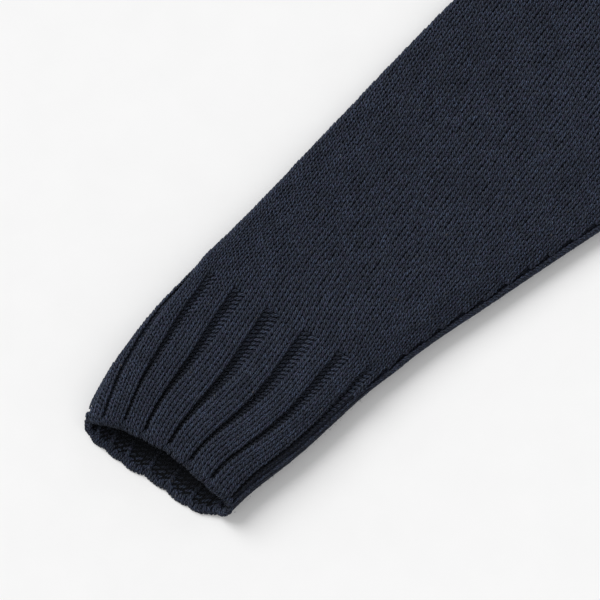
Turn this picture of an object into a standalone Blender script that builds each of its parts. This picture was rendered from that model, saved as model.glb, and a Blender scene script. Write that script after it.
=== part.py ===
"""A crew-neck wool sweater laid flat, front side up.

The pieces are a front, a back, two sleeves and a neckband. Each is one wall of
thick plain knit, with ribs raised on its hem, cuff or band. The back and the
undersides of the sleeves lie on the floor at z = 0. The front and the upper
sides of the sleeves lie on them, and roll down to them along every folded or
sewn edge. The hem runs along X, the neck points to +Y.
"""

import math

import bmesh
import bpy
import numpy as np

# Driving sizes, in metres.
WALL = 0.0026
SEAM_GAP = 0.0003
BODY_HEIGHT = 0.0076
EDGE_REACH = 0.0080
RIB_RELIEF = 0.0013
SCALLOP = 0.0014

# Body, seen from above: x from the middle line, y up from the hem.
UNDERARM = (0.262, 0.415)
SHOULDER_TIP = (0.234, 0.647)
NECK_POINT = (0.095, 0.690)
ARMHOLE_PULL_LOW = (0.238, 0.428)
ARMHOLE_PULL_HIGH = (0.212, 0.560)
FRONT_NECK_DEPTH = 0.078
FRONT_NECK_POWER = 2.6
BACK_NECK_DEPTH = 0.016
BACK_NECK_POWER = 2.2
HEM_RIBS = 26

# Neckband: its width, its ribs, and how far it leans in at the neck points.
BAND_WIDTH = 0.028
BAND_RIBS_FRONT = 16
BAND_RIBS_BACK = 14
BAND_LIFT = 1.1
BAND_GROOVE = 0.24

# Sleeve: its mouth, its slope and its ribs.
MOUTH_CENTRE = (-0.678, 0.183)
SLEEVE_SLOPE = math.radians(50)
CUFF_RIBS_A_SIDE = 7
CUFF_GROOVE_START = 0.30

# Half width of the body at heights above the hem.
BODY_SIDES = (
    # height, half_width
    (0.000, 0.230),
    (0.040, 0.234),
    (0.085, 0.246),
    (0.125, 0.258),
    (0.200, 0.262),
    (0.415, 0.262),
)

# Rows of the hem's rib.
HEM_ROWS = (
    # height, relief share, groove share
    (0.000, 0.85, 0.16),
    (0.016, 1.00, 0.16),
    (0.042, 1.00, 0.20),
    (0.070, 1.00, 0.26),
    (0.085, 0.75, 0.34),
)

# Heights of the plain rows between the rib and the underarm.
BODY_ROWS = (0.096, 0.125, 0.170, 0.250, 0.335)

# Rows from the underarm to the shoulder: where each meets the armhole's curve,
# and how far up the panel it lies away from the armhole.
ARMHOLE_ROWS = (
    # curve share, panel share
    (0.0000, 0.000),
    (0.0150, 0.050),
    (0.0500, 0.110),
    (0.1050, 0.180),
    (0.2200, 0.280),
    (0.3600, 0.400),
    (0.5200, 0.530),
    (0.6800, 0.670),
    (0.8400, 0.820),
    (0.9700, 0.9690),
    (0.9850, 0.9845),
    (0.9955, 0.9954),
    (1.0000, 1.000),
)

# Columns of a panel: places measured on the shoulder row, then near the edge.
PANEL_COLUMNS = (0.000, 0.030, 0.056, 0.076, 0.089, 0.0935, 0.095, 0.130, 0.175, 0.212)
EDGE_COLUMNS = (0.0080, 0.0040, 0.0012, 0.0000)

# Edges of the sleeve in its own frame, centred on the mouth.
FOLD_EDGE = (
    # along, aside
    (-0.020, -0.0470),
    (0.017, -0.0528),
    (0.050, -0.0556),
    (0.085, -0.0550),
    (0.125, -0.0515),
    (0.200, -0.0460),
    (0.2855, -0.0400),
    (0.400, -0.0260),
    (0.520, 0.0013),
    (0.6409, 0.0417),
)
SEAM_EDGE = (
    # along, aside
    (-0.010, 0.0415),
    (0.017, 0.0437),
    (0.048, 0.0493),
    (0.095, 0.0561),
    (0.127, 0.0620),
    (0.181, 0.0778),
    (0.242, 0.0957),
    (0.340, 0.1281),
    (0.4452, 0.1695),
)

# Sections of the sleeve, from the mouth to the armhole.
SLEEVE_SECTIONS = (
    # fold_along, seam_along, height, top_reach, under_reach, lean, relief, groove, spread
    (-0.0035, 0.0045, 0.0200, 0.022, 0.010, 0.78, 0.85, 0.12, 0.00),
    (0.0095, 0.0205, 0.0200, 0.023, 0.010, 0.72, 1.00, 0.12, 0.05),
    (0.0305, 0.0450, 0.0195, 0.024, 0.010, 0.45, 1.00, 0.15, 0.16),
    (0.0560, 0.0720, 0.0190, 0.025, 0.010, 0.20, 1.00, 0.20, 0.26),
    (0.0800, 0.0960, 0.0180, 0.025, 0.010, 0.05, 1.00, 0.25, 0.30),
    (0.0950, 0.1110, 0.0172, 0.025, 0.010, 0.00, 0.70, 0.30, 0.30),
    (0.1080, 0.1240, 0.0166, 0.025, 0.010, 0.00, 0.00, 0.00, 0.30),
    (0.1450, 0.1620, 0.0152, 0.024, 0.010, 0.00, 0.00, 0.00, 0.25),
    (0.1950, 0.2120, 0.0138, 0.023, 0.010, 0.00, 0.00, 0.00, 0.20),
    (0.2500, 0.2620, 0.0126, 0.021, 0.009, 0.00, 0.00, 0.00, 0.15),
    (0.3200, 0.3120, 0.0114, 0.018, 0.009, 0.00, 0.00, 0.00, 0.10),
    (0.4000, 0.3550, 0.0102, 0.015, 0.008, 0.00, 0.00, 0.00, 0.05),
    (0.4800, 0.3880, 0.0092, 0.012, 0.008, 0.00, 0.00, 0.00, 0.00),
    (0.5500, 0.4140, 0.0084, 0.010, 0.008, 0.00, 0.00, 0.00, 0.00),
    (0.6060, 0.4330, 0.0079, 0.008, 0.008, 0.00, 0.00, 0.00, 0.00),
)

# Places across one side of a plain sleeve section, from one edge to the other.
PLAIN_PLACES = (0.0, 0.02, 0.06, 0.12, 0.25, 0.40, 0.60, 0.75, 0.88, 0.94, 0.98)
INNER_PLACES = (0.0, 0.03, 0.10, 0.30, 0.50, 0.70, 0.90, 0.97)


def smooth_step(value):
    """Ease from 0 to 1."""
    share = np.clip(value, 0.0, 1.0)
    return share * share * (3.0 - 2.0 * share)


def through(rows, places):
    """Read a smooth curve through rows of (place, value) at the given places."""
    knots = np.array([row[0] for row in rows])
    values = np.array([row[1] for row in rows])
    slopes = np.gradient(values, knots)
    places = np.clip(places, knots[0], knots[-1])
    left = np.clip(np.searchsorted(knots, places, side="right") - 1, 0, len(knots) - 2)
    span = knots[left + 1] - knots[left]
    share = (places - knots[left]) / span
    start = (1 + 2 * share) * (1 - share) ** 2 * values[left]
    leave = share * (1 - share) ** 2 * span * slopes[left]
    end = share ** 2 * (3 - 2 * share) * values[left + 1]
    arrive = share ** 2 * (share - 1) * span * slopes[left + 1]
    return start + leave + end + arrive


def roll(distance, reach):
    """Rise from 0 at a rolled edge to 1 past its reach, as a quarter ellipse does."""
    share = np.clip(distance / reach, 0.0, 1.0)
    return np.sqrt(1.0 - (1.0 - share) ** 2)


def bridge(faces, first, second, first_places, second_places):
    """Join two chains of vertex numbers by triangles, stepping along the one that lags."""
    here = 0
    there = 0
    while here < len(first) - 1 or there < len(second) - 1:
        second_done = there == len(second) - 1
        first_open = here < len(first) - 1
        if second_done or (first_open and first_places[here + 1] <= second_places[there + 1]):
            faces.append((first[here], first[here + 1], second[there]))
            here += 1
        else:
            faces.append((first[here], second[there + 1], second[there]))
            there += 1


def number_rows(points, rows):
    """Add rows of points to the list and return the vertex numbers of each row."""
    numbered = []
    for row in rows:
        start = len(points)
        points.extend(tuple(point) for point in row)
        numbered.append(list(range(start, len(points))))
    return numbered


def wool(name):
    """Navy wool yarn: dark, matt and soft."""
    material = bpy.data.materials.new(name)
    material.use_nodes = True
    shader = material.node_tree.nodes["Principled BSDF"]
    shader.inputs["Base Color"].default_value = (0.019, 0.022, 0.034, 1.0)
    shader.inputs["Roughness"].default_value = 0.92
    shader.inputs["Metallic"].default_value = 0.0
    return material


def cloth_object(name, points, faces, garment, carrier):
    """Make one closed wall of cloth, with its faces pointing out."""
    mesh = bpy.data.meshes.new(name)
    mesh.from_pydata(points, [], faces)
    body = bmesh.new()
    body.from_mesh(mesh)
    bmesh.ops.recalc_face_normals(body, faces=body.faces)
    if body.calc_volume(signed=True) < 0.0:
        bmesh.ops.reverse_faces(body, faces=body.faces)
    body.to_mesh(mesh)
    body.free()
    mesh.shade_smooth()
    mesh.set_sharp_from_angle(angle=math.radians(50))
    mesh.materials.append(wool("navy_wool_" + name))
    piece = bpy.data.objects.new(name, mesh)
    garment.objects.link(piece)
    piece.parent = carrier
    return piece


# The body's outline

def armhole_point(share):
    """Point on the armhole's curve, from the underarm at 0 to the shoulder tip at 1."""
    pulls = np.array((UNDERARM, ARMHOLE_PULL_LOW, ARMHOLE_PULL_HIGH, SHOULDER_TIP))
    weights = np.array((
        (1 - share) ** 3,
        3 * share * (1 - share) ** 2,
        3 * share ** 2 * (1 - share),
        share ** 3,
    ))
    return weights @ pulls


def shoulder_height(x):
    """Height of the shoulder line, carried on past both of its ends."""
    rise = (NECK_POINT[1] - SHOULDER_TIP[1]) / (SHOULDER_TIP[0] - NECK_POINT[0])
    return NECK_POINT[1] + (NECK_POINT[0] - np.abs(x)) * rise


def top_edge(x, depth, power):
    """Upper outline of a panel: the neckline between the neck points, else the shoulder."""
    share = np.clip(np.abs(x) / NECK_POINT[0], 0.0, 1.0)
    neckline = NECK_POINT[1] - depth * (1.0 - share ** power)
    return np.where(np.abs(x) < NECK_POINT[0], neckline, shoulder_height(x))


def edge_distance(x, y):
    """Distance from the nearest sewn edge of the body, its side or its shoulder."""
    side = through(BODY_SIDES, y) - np.abs(x)
    run = SHOULDER_TIP[0] - NECK_POINT[0]
    drop = NECK_POINT[1] - SHOULDER_TIP[1]
    shoulder = (shoulder_height(x) - y) * run / math.hypot(run, drop)
    return np.minimum(side, shoulder)


def layer_height(x, y, upward, inside):
    """Height of a panel's outer or inner face: upward is 1 for the front, -1 for the back."""
    distance = edge_distance(x, y) - (WALL if inside else 0.0)
    reach = EDGE_REACH - (WALL if inside else 0.0)
    rise = BODY_HEIGHT / 2 - SEAM_GAP / 2 - (WALL if inside else 0.0)
    return BODY_HEIGHT / 2 + upward * (SEAM_GAP / 2 + rise * roll(distance, reach))


# Front and back

def panel_columns(half_width):
    """Places across a panel, from left to right, closer together near its edges."""
    inner = np.array(PANEL_COLUMNS) * half_width / SHOULDER_TIP[0]
    outer = half_width - np.array(EDGE_COLUMNS)
    right = np.concatenate((inner, outer))
    return np.concatenate((-right[:0:-1], right))


def edge_inset(x, half_width, inset):
    """Move the outermost places inwards by the inset, and fade it out past the rolled edge."""
    distance = half_width - np.abs(x)
    moved = inset * np.clip(1.0 - distance / EDGE_REACH, 0.0, 1.0)
    return x - np.sign(x) * moved


def plain_row(height, upward, inside):
    """A level row of a panel, from side seam to side seam."""
    half_width = through(BODY_SIDES, height)
    x = panel_columns(half_width)
    if inside:
        x = edge_inset(x, half_width, WALL)
    y = np.full_like(x, height)
    return np.column_stack((x, y, layer_height(x, y, upward, inside)))


def armhole_row(curve_share, panel_share, depth, power, upward, inside):
    """A row between the armholes, level below and bent to the neck and shoulders above."""
    half_width, edge_y = armhole_point(curve_share)
    x = panel_columns(half_width)
    on_top = x * SHOULDER_TIP[0] / half_width
    on_top = np.clip(on_top, -SHOULDER_TIP[0], SHOULDER_TIP[0])
    crest = top_edge(on_top, depth, power)
    y = UNDERARM[1] + panel_share * (crest - UNDERARM[1])
    towards_middle = smooth_step((half_width - np.abs(x)) / (0.35 * half_width))
    y_at_edge = edge_y + (crest - SHOULDER_TIP[1]) * panel_share
    y = y_at_edge + (y - y_at_edge) * towards_middle
    if inside:
        near_underarm = 1.0 - smooth_step((edge_y - UNDERARM[1]) / 0.006)
        x = edge_inset(x, half_width, WALL * near_underarm)
        on_shoulder = np.clip((np.abs(on_top) - NECK_POINT[0]) / 0.004 + 1.0, 0.0, 1.0)
        near_shoulder = np.clip(1.0 - (crest - y) / EDGE_REACH, 0.0, 1.0)
        y = y - WALL * on_shoulder * near_shoulder
    return np.column_stack((x, y, layer_height(x, y, upward, inside)))


def rib_places(ribs, groove):
    """Places and relief of one side's ribs: each groove has four points, two of them low."""
    places = [0.0]
    relief = [1.0]
    for rib in range(ribs):
        middle = rib + 0.5
        for step, low in ((-groove / 2 - 0.14, 1.0), (-groove / 2, 0.0), (groove / 2, 0.0),
                          (groove / 2 + 0.14, 1.0)):
            places.append((middle + step) / ribs)
            relief.append(low)
    places.append(1.0)
    relief.append(1.0)
    return np.array(places), np.array(relief)


def rolled_profile(places, half_width, rise, reach):
    """Read a rolled section at places along its length: across, up, and its outward normal."""
    turn = np.linspace(0.0, math.pi / 2, 13)
    left_across = -half_width + reach * (1 - np.cos(turn))
    across = np.concatenate((left_across, -left_across[::-1]))
    up = np.concatenate((rise * np.sin(turn), rise * np.sin(turn[::-1])))
    lean = np.concatenate((-rise * np.cos(turn), rise * np.cos(turn[::-1])))
    lift = np.concatenate((reach * np.sin(turn), reach * np.sin(turn[::-1])))
    size = np.hypot(lean, lift)
    length = np.concatenate(((0.0,), np.cumsum(np.hypot(np.diff(across), np.diff(up)))))
    at = np.asarray(places) * length[-1]
    columns = (across, up, lean / size, lift / size)
    return [np.interp(at, length, column) for column in columns]


def hem_row(height, relief_share, groove, scallop):
    """A row of the front's hem, with its ribs raised and its lower edge scalloped."""
    places, relief = rib_places(HEM_RIBS, groove)
    half_width = through(BODY_SIDES, height) - RIB_RELIEF * relief_share
    rise = BODY_HEIGHT / 2 - SEAM_GAP / 2
    across, up, lean, lift = rolled_profile(places, half_width, rise, EDGE_REACH)
    out = RIB_RELIEF * relief_share * relief
    x = across + out * lean
    y = height - scallop * relief
    z = BODY_HEIGHT / 2 + SEAM_GAP / 2 + up + out * lift
    return places, np.column_stack((x, y, z))


def panel_places(row):
    """Share of the way along a row for each of its points."""
    steps = np.linalg.norm(np.diff(row, axis=0), axis=1)
    length = np.concatenate(((0.0,), np.cumsum(steps)))
    return length / length[-1]


def panel(name, upward, depth, power, ribbed, garment, carrier):
    """Front or back: an outer face and an inner face, joined round the whole edge."""
    levels = [row[0] for row in HEM_ROWS] + list(BODY_ROWS)
    points = []
    faces = []
    sides = {}
    for inside in (False, True):
        rows = [plain_row(level, upward, inside) for level in levels]
        rows += [armhole_row(curve, share, depth, power, upward, inside)
                 for curve, share in ARMHOLE_ROWS]
        places = [panel_places(row) for row in rows]
        if ribbed and not inside:
            for index, (height, relief_share, groove) in enumerate(HEM_ROWS):
                scallop = SCALLOP if index == 0 else 0.0
                places[index], rows[index] = hem_row(height, relief_share, groove, scallop)
        numbers = number_rows(points, rows)
        for index in range(len(numbers) - 1):
            bridge(faces, numbers[index], numbers[index + 1], places[index], places[index + 1])
        sides[inside] = (numbers, places)
    outer, outer_places = sides[False]
    inner, inner_places = sides[True]
    bridge(faces, inner[0], outer[0], inner_places[0], outer_places[0])
    bridge(faces, outer[-1], inner[-1], outer_places[-1], inner_places[-1])
    steps = range(len(outer))
    bridge(faces, [row[0] for row in outer], [row[0] for row in inner], steps, steps)
    bridge(faces, [row[-1] for row in inner], [row[-1] for row in outer], steps, steps)
    return cloth_object(name, points, faces, garment, carrier)


# Sleeves

def sleeve_to_body(aside, along):
    """Turn places in the left sleeve's own frame into places on the floor."""
    x = MOUTH_CENTRE[0] + aside * math.sin(SLEEVE_SLOPE) + along * math.cos(SLEEVE_SLOPE)
    y = MOUTH_CENTRE[1] - aside * math.cos(SLEEVE_SLOPE) + along * math.sin(SLEEVE_SLOPE)
    return x, y


def armhole_bow(across):
    """How far the armhole bows off the straight line between its ends, in the sleeve's plan."""
    samples = np.linspace(0.0, 1.0, 41)
    curve = np.array([armhole_point(share) for share in samples]) * (-1, 1)
    tip = curve[-1]
    chord = curve[0] - tip
    place = (curve - tip) @ chord / (chord @ chord)
    bow = curve - tip - place[:, None] * chord
    order = np.argsort(place)
    bow_x = np.interp(across, place[order], bow[order, 0])
    bow_y = np.interp(across, place[order], bow[order, 1])
    return bow_x, bow_y


def spread_ribs(places, spread):
    """Open the ribs at the middle of a side and close them towards its edges."""
    return places - spread / (2 * math.pi) * np.sin(2 * math.pi * places)


def section_side(section, places, relief, under, inside):
    """One side of a sleeve section: its top, or with under set its underside."""
    fold_along, seam_along, height, top_reach, under_reach, lean, rib, _, spread = section
    inset = WALL if inside else 0.0
    fold_aside = through(FOLD_EDGE, fold_along)
    seam_aside = through(SEAM_EDGE, seam_along)
    full = math.hypot(seam_aside - fold_aside, seam_along - fold_along) / 2
    half_width = full - inset - (0.0 if inside else RIB_RELIEF * rib)
    reach = (under_reach if under else top_reach) - inset
    rise = height / 2 - inset
    places = spread_ribs(np.asarray(places), spread)
    across, up, normal_across, normal_up = rolled_profile(places, half_width, rise, reach)
    kept = np.clip(1.0 - up / rise, 0.0, 1.0) if under else 1.0
    out = RIB_RELIEF * rib * relief * kept
    across = across + out * normal_across
    up = up + out * normal_up
    z = height / 2 + (-up if under else up)
    share = across / full / 2 + 0.5
    along = fold_along + share * (seam_along - fold_along) + lean * (z - height / 2)
    aside = fold_aside + share * (seam_aside - fold_aside)
    x, y = sleeve_to_body(aside, along)
    bow_x, bow_y = armhole_bow(share)
    near = smooth_step((fold_along - 0.30) / (FOLD_EDGE[-1][0] - 0.30))
    return np.column_stack((x + near * bow_x, y + near * bow_y, z))


def section_ring(section, inside):
    """One closed ring of the sleeve with the place of each point round it."""
    rib = section[6]
    if inside or rib == 0.0:
        places = np.array(INNER_PLACES if inside else PLAIN_PLACES)
        relief = np.zeros_like(places)
    else:
        places, relief = rib_places(CUFF_RIBS_A_SIDE, section[7])
        shift = (CUFF_GROOVE_START - 0.5) / CUFF_RIBS_A_SIDE
        places = np.concatenate(((0.0,), places[1:-1] + shift))
        relief = relief[:-1]
    top = section_side(section, places, relief, False, inside)
    under_places = 1.0 - places[::-1]
    under_relief = relief[::-1]
    if under_places[-1] == 1.0:
        under_places = np.concatenate(((1.0,), under_places[:-1][::-1]))
        under_relief = np.concatenate(((relief[0],), under_relief[:-1][::-1]))
    under = section_side(section, under_places, under_relief, True, inside)
    ring = np.concatenate((top, under))
    round_places = np.concatenate((places / 2, 0.5 + (1.0 - under_places) / 2))
    return ring, round_places


def armhole_ring(inside):
    """The sleeve's last ring, on the body's armhole edge and one seam gap away from it."""
    shares = [row[0] for row in ARMHOLE_ROWS]
    curve = np.array([armhole_point(share) for share in shares])
    ahead = np.gradient(curve, axis=0)
    away = np.column_stack((ahead[:, 1], -ahead[:, 0]))
    away /= np.linalg.norm(away, axis=1)[:, None]
    height = layer_height(curve[:, 0], curve[:, 1], 1, inside)
    if inside:
        keep = np.linalg.norm(curve - curve[0], axis=1) > WALL
        keep &= np.linalg.norm(curve - curve[-1], axis=1) > WALL
        curve = curve[keep]
        away = away[keep]
        height = height[keep]
    steps = np.linalg.norm(np.diff(curve, axis=0), axis=1)
    length = np.concatenate(((0.0,), np.cumsum(steps)))
    from_end = np.minimum(length, length[-1] - length)
    near_end = 1.0 - smooth_step(from_end / 0.015)
    edge = curve + away * (SEAM_GAP * (1.0 + 2.0 * near_end))[:, None]
    top = np.column_stack((-edge[:, 0], edge[:, 1], height))[::-1]
    under = top[::-1] * (1, 1, -1) + (0, 0, BODY_HEIGHT)
    if not inside:
        top[0, 2] = top[-1, 2] = BODY_HEIGHT / 2
        under = under[1:-1]
    ring = np.concatenate((top, under))
    closed = np.concatenate((ring, ring[:1]))
    return ring, panel_places(closed)[:-1]


def sleeve(name, mirrored, garment, carrier):
    """A sleeve: an outer and an inner skin of rings, joined at the mouth and the armhole."""
    points = []
    faces = []
    skins = {}
    for inside in (False, True):
        rings = [section_ring(section, inside) for section in SLEEVE_SECTIONS]
        if not inside:
            lip, lip_places = rings[0]
            rings[0] = (scalloped(lip), lip_places)
        rings.append(armhole_ring(inside))
        numbers = number_rows(points, [ring for ring, _ in rings])
        closed = [row + row[:1] for row in numbers]
        places = [np.append(round_places, 1.0) for _, round_places in rings]
        for index in range(len(closed) - 1):
            bridge(faces, closed[index], closed[index + 1], places[index], places[index + 1])
        skins[inside] = (closed, places)
    outer, outer_places = skins[False]
    inner, inner_places = skins[True]
    bridge(faces, inner[0], outer[0], inner_places[0], outer_places[0])
    bridge(faces, outer[-1], inner[-1], outer_places[-1], inner_places[-1])
    if mirrored:
        points = [(-x, y, z) for x, y, z in points]
    return cloth_object(name, points, faces, garment, carrier)


def scalloped(ring):
    """Let each rib end stand out past the grooves at the mouth."""
    ribs = CUFF_RIBS_A_SIDE
    _, relief = rib_places(ribs, 0.2)
    relief = relief[:-1]
    relief = np.concatenate((relief, relief))
    out = SCALLOP * relief
    step_x = -math.cos(SLEEVE_SLOPE)
    step_y = -math.sin(SLEEVE_SLOPE)
    return ring + np.column_stack((out * step_x, out * step_y, np.zeros_like(out)))


# Neckband

def neckline(depth, power, upward):
    """The neckline's outer edge from the left neck point to the right, as the panel has it."""
    x = np.array([place for place in PANEL_COLUMNS if place <= NECK_POINT[0]])
    x = np.concatenate((-x[:0:-1], x))
    y = top_edge(x * 0.999999, depth, power)
    z = layer_height(x, y, upward, False)
    z[0] = z[-1] = BODY_HEIGHT / 2
    return np.column_stack((x, y, z))


def band_half(depth, power, upward, ribs):
    """Seam line, relief and inward direction along one half of the band, less its last point."""
    edge = neckline(depth, power, upward)
    if upward < 0:
        edge = edge[::-1]
    places, relief = rib_places(ribs, BAND_GROOVE)
    length = panel_places(edge)
    line = np.column_stack([np.interp(places, length, edge[:, axis]) for axis in range(3)])
    ahead = np.gradient(line[:, :2], axis=0) * upward
    ahead /= np.linalg.norm(ahead, axis=1)[:, None]
    side = np.abs(line[:, 0]) / NECK_POINT[0]
    lift = BAND_LIFT * side ** 4
    inward = np.column_stack((-ahead[:, 1], ahead[:, 0] + lift, np.zeros(len(line))))
    at_fold = smooth_step((side - 0.90) / 0.10)[:, None]
    fold_way = np.column_stack((-np.sign(line[:, 0]), np.full(len(line), BAND_LIFT), 0 * side))
    inward = inward + at_fold * (fold_way - inward)
    inward /= np.linalg.norm(inward, axis=1)[:, None]
    return line[:-1], relief[:-1], inward[:-1]


def neckband(garment, carrier):
    """The ribbed band: a strip round the neckline, front half on top, back half below."""
    front = band_half(FRONT_NECK_DEPTH, FRONT_NECK_POWER, 1, BAND_RIBS_FRONT)
    back = band_half(BACK_NECK_DEPTH, BACK_NECK_POWER, -1, BAND_RIBS_BACK)
    line, relief, inward = [np.concatenate(pair) for pair in zip(front, back)]
    ahead = np.roll(line, -1, axis=0) - np.roll(line, 1, axis=0)
    outward = np.cross(ahead, inward)
    outward /= np.linalg.norm(outward, axis=1)[:, None]
    at_fold = smooth_step((np.abs(line[:, 0]) / NECK_POINT[0] - 0.85) / 0.15)[:, None]
    seam = line + inward * SEAM_GAP * (1 + 3 * at_fold)
    raised = (relief * RIB_RELIEF * (line[:, 2] > WALL))[:, None] * outward
    low = seam + inward * 0.12 * BAND_WIDTH
    high = seam + inward * 0.92 * BAND_WIDTH
    free = seam + inward * BAND_WIDTH
    loops = (
        seam,
        low + raised,
        high + raised,
        free + raised / 2,
        free - outward * WALL,
        seam - outward * WALL,
    )
    points = []
    faces = []
    numbers = [row + row[:1] for row in number_rows(points, loops)]
    steps = range(len(line) + 1)
    for index, row in enumerate(numbers):
        bridge(faces, numbers[index - 1], row, steps, steps)
    return cloth_object("neckband", points, faces, garment, carrier)


def middle_of(pieces):
    """Half way between the lowest hem point and the highest neckband point."""
    heights = [vertex.co.y for piece in pieces for vertex in piece.data.vertices]
    return (min(heights) + max(heights)) / 2


def build():
    """Clear the scene and make the sweater, with the middle of its floor box at the origin."""
    for leftover in list(bpy.data.objects):
        bpy.data.objects.remove(leftover, do_unlink=True)
    garment = bpy.data.collections.new("wool_sweater")
    bpy.context.scene.collection.children.link(garment)
    carrier = bpy.data.objects.new("sweater_on_floor", None)
    garment.objects.link(carrier)
    pieces = [
        panel("front", 1, FRONT_NECK_DEPTH, FRONT_NECK_POWER, True, garment, carrier),
        panel("back", -1, BACK_NECK_DEPTH, BACK_NECK_POWER, False, garment, carrier),
        sleeve("sleeve_left", False, garment, carrier),
        sleeve("sleeve_right", True, garment, carrier),
        neckband(garment, carrier),
    ]
    carrier.location.y = -middle_of(pieces)


build()
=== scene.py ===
import math

import bpy
import numpy as np
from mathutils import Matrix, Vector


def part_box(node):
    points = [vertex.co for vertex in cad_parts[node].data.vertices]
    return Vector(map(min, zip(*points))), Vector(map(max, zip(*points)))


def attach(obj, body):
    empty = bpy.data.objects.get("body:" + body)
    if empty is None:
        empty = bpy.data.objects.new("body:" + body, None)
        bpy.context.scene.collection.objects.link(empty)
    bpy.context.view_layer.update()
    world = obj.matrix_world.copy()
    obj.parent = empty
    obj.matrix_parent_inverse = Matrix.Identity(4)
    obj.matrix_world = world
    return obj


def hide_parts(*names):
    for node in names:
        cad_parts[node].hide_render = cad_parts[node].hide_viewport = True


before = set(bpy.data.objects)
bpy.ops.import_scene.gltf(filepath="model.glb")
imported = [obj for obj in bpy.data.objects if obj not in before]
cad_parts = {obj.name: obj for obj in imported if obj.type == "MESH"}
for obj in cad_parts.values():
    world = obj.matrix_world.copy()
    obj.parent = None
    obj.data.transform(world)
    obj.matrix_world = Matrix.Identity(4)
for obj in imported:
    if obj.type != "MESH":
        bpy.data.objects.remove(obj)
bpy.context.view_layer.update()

bl_info = {
    "name": "Wool sweater laid flat",
    "version": (1, 0, 0),
    "blender": (4, 5, 0),
    "location": "3D View > Sidebar > Sweater",
    "description": "Knits a navy wool sweater, stitch by stitch",
    "category": "Object",
}

# The garment's sizes, in metres, as its solids have them. Heights count from the hem.
HEM_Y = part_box("back")[0].y
WALL = 0.0026
SEAM_GAP = 0.0003
BODY_HEIGHT = 0.0076
EDGE_REACH = 0.0080
RIB_RELIEF = 0.0013
SCALLOP = 0.0014
SCALLOP_FADE = 0.012
# How high a rib's groove and its knit wales lie: outside, inside and on the neckband.
RIB_LIFTS = (-0.0016, 0.0007)
INNER_LIFTS = (-0.0006, 0.0004)
BAND_LIFTS = (-0.0006, 0.0011)
UNDERARM = (0.262, 0.415)
SHOULDER_TIP = (0.234, 0.647)
NECK_POINT = (0.095, 0.690)
ARMHOLE_PULLS = (UNDERARM, (0.238, 0.428), (0.212, 0.560), SHOULDER_TIP)
FRONT_NECK = (0.078, 2.6)
BACK_NECK = (0.016, 2.2)
BAND_WIDTH = 0.028
BAND_LIFT = 1.1
HEM_RIBS = 26
BAND_RIBS = (16, 14)
BAND_GROOVE = 0.24
MOUTH_CENTRE = (-0.678, 0.183)
SLEEVE_SLOPE = math.radians(50)

BODY_SIDES = (
    # height, half_width
    (0.0, 0.23), (0.04, 0.234), (0.085, 0.246), (0.125, 0.258), (0.2, 0.262), (0.415, 0.262),
)
ARMHOLE_ROWS = (
    # curve share, panel share
    (0.0, 0.0), (0.015, 0.05), (0.05, 0.11), (0.105, 0.18), (0.22, 0.28), (0.36, 0.4), (0.52, 0.53),
    (0.68, 0.67), (0.84, 0.82), (0.97, 0.969), (0.985, 0.9845), (0.9955, 0.9954), (1.0, 1.0),
)
HEM_GROOVES = (
    # height, groove share of a rib
    (0.0, 0.16), (0.016, 0.16), (0.042, 0.2), (0.07, 0.28), (0.098, 0.4), (0.12, 0.4),
)
HEM_RIB_END = 0.086
FOLD_EDGE = (
    # along, aside
    (-0.02, -0.041), (-0.005, -0.0475), (0.017, -0.0526), (0.05, -0.0556), (0.085, -0.055),
    (0.125, -0.051), (0.2, -0.046), (0.2855, -0.04), (0.4, -0.026), (0.52, 0.0013),
    (0.6409, 0.0417),
)
SEAM_EDGE = (
    # along, aside
    (-0.01, 0.0422), (0.017, 0.045), (0.048, 0.0511), (0.095, 0.0574), (0.127, 0.0628),
    (0.181, 0.0778), (0.242, 0.0957), (0.34, 0.1281), (0.4452, 0.1695),
)
SEAM_END_SLOPE = 0.426
SLEEVE_SECTIONS = (
    # fold_along, seam_along, height, top_reach, under_reach, lean
    (-0.0035, 0.0045, 0.02, 0.022, 0.01, 0.78), (0.0095, 0.0205, 0.02, 0.023, 0.01, 0.72),
    (0.0305, 0.045, 0.0195, 0.024, 0.01, 0.45), (0.056, 0.072, 0.019, 0.025, 0.01, 0.2),
    (0.08, 0.096, 0.018, 0.025, 0.01, 0.05), (0.095, 0.111, 0.0172, 0.025, 0.01, 0.0),
    (0.108, 0.124, 0.0166, 0.025, 0.01, 0.0), (0.145, 0.162, 0.0152, 0.024, 0.01, 0.0),
    (0.195, 0.212, 0.0138, 0.023, 0.01, 0.0), (0.25, 0.262, 0.0126, 0.021, 0.009, 0.0),
    (0.32, 0.312, 0.0114, 0.018, 0.009, 0.0), (0.4, 0.355, 0.0102, 0.015, 0.008, 0.0),
    (0.48, 0.388, 0.0092, 0.012, 0.008, 0.0), (0.55, 0.414, 0.0084, 0.01, 0.008, 0.0),
    (0.606, 0.433, 0.0079, 0.008, 0.008, 0.0), (0.6409, 0.4452, 0.0076, 0.008, 0.008, 0.0),
)

# The knit on the sleeve. Its course lines lean against the sleeve's own axis, less at the mouth.
TILT = 0.155
COURSE_TILTS = (
    # course, rise of its line across the sleeve
    (-0.01, 0.08), (0.0, 0.085), (0.015, 0.115), (0.038, 0.144), (0.064, 0.15), (0.1, TILT),
    (0.7, TILT),
)
WALE_LEAN = 0.10
WALE_WIDTH = 0.0041
PANEL_WALE = 0.00405
COURSE = 0.0027
CUFF_WALES = 35
MOUTH_WALES = 37
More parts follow.
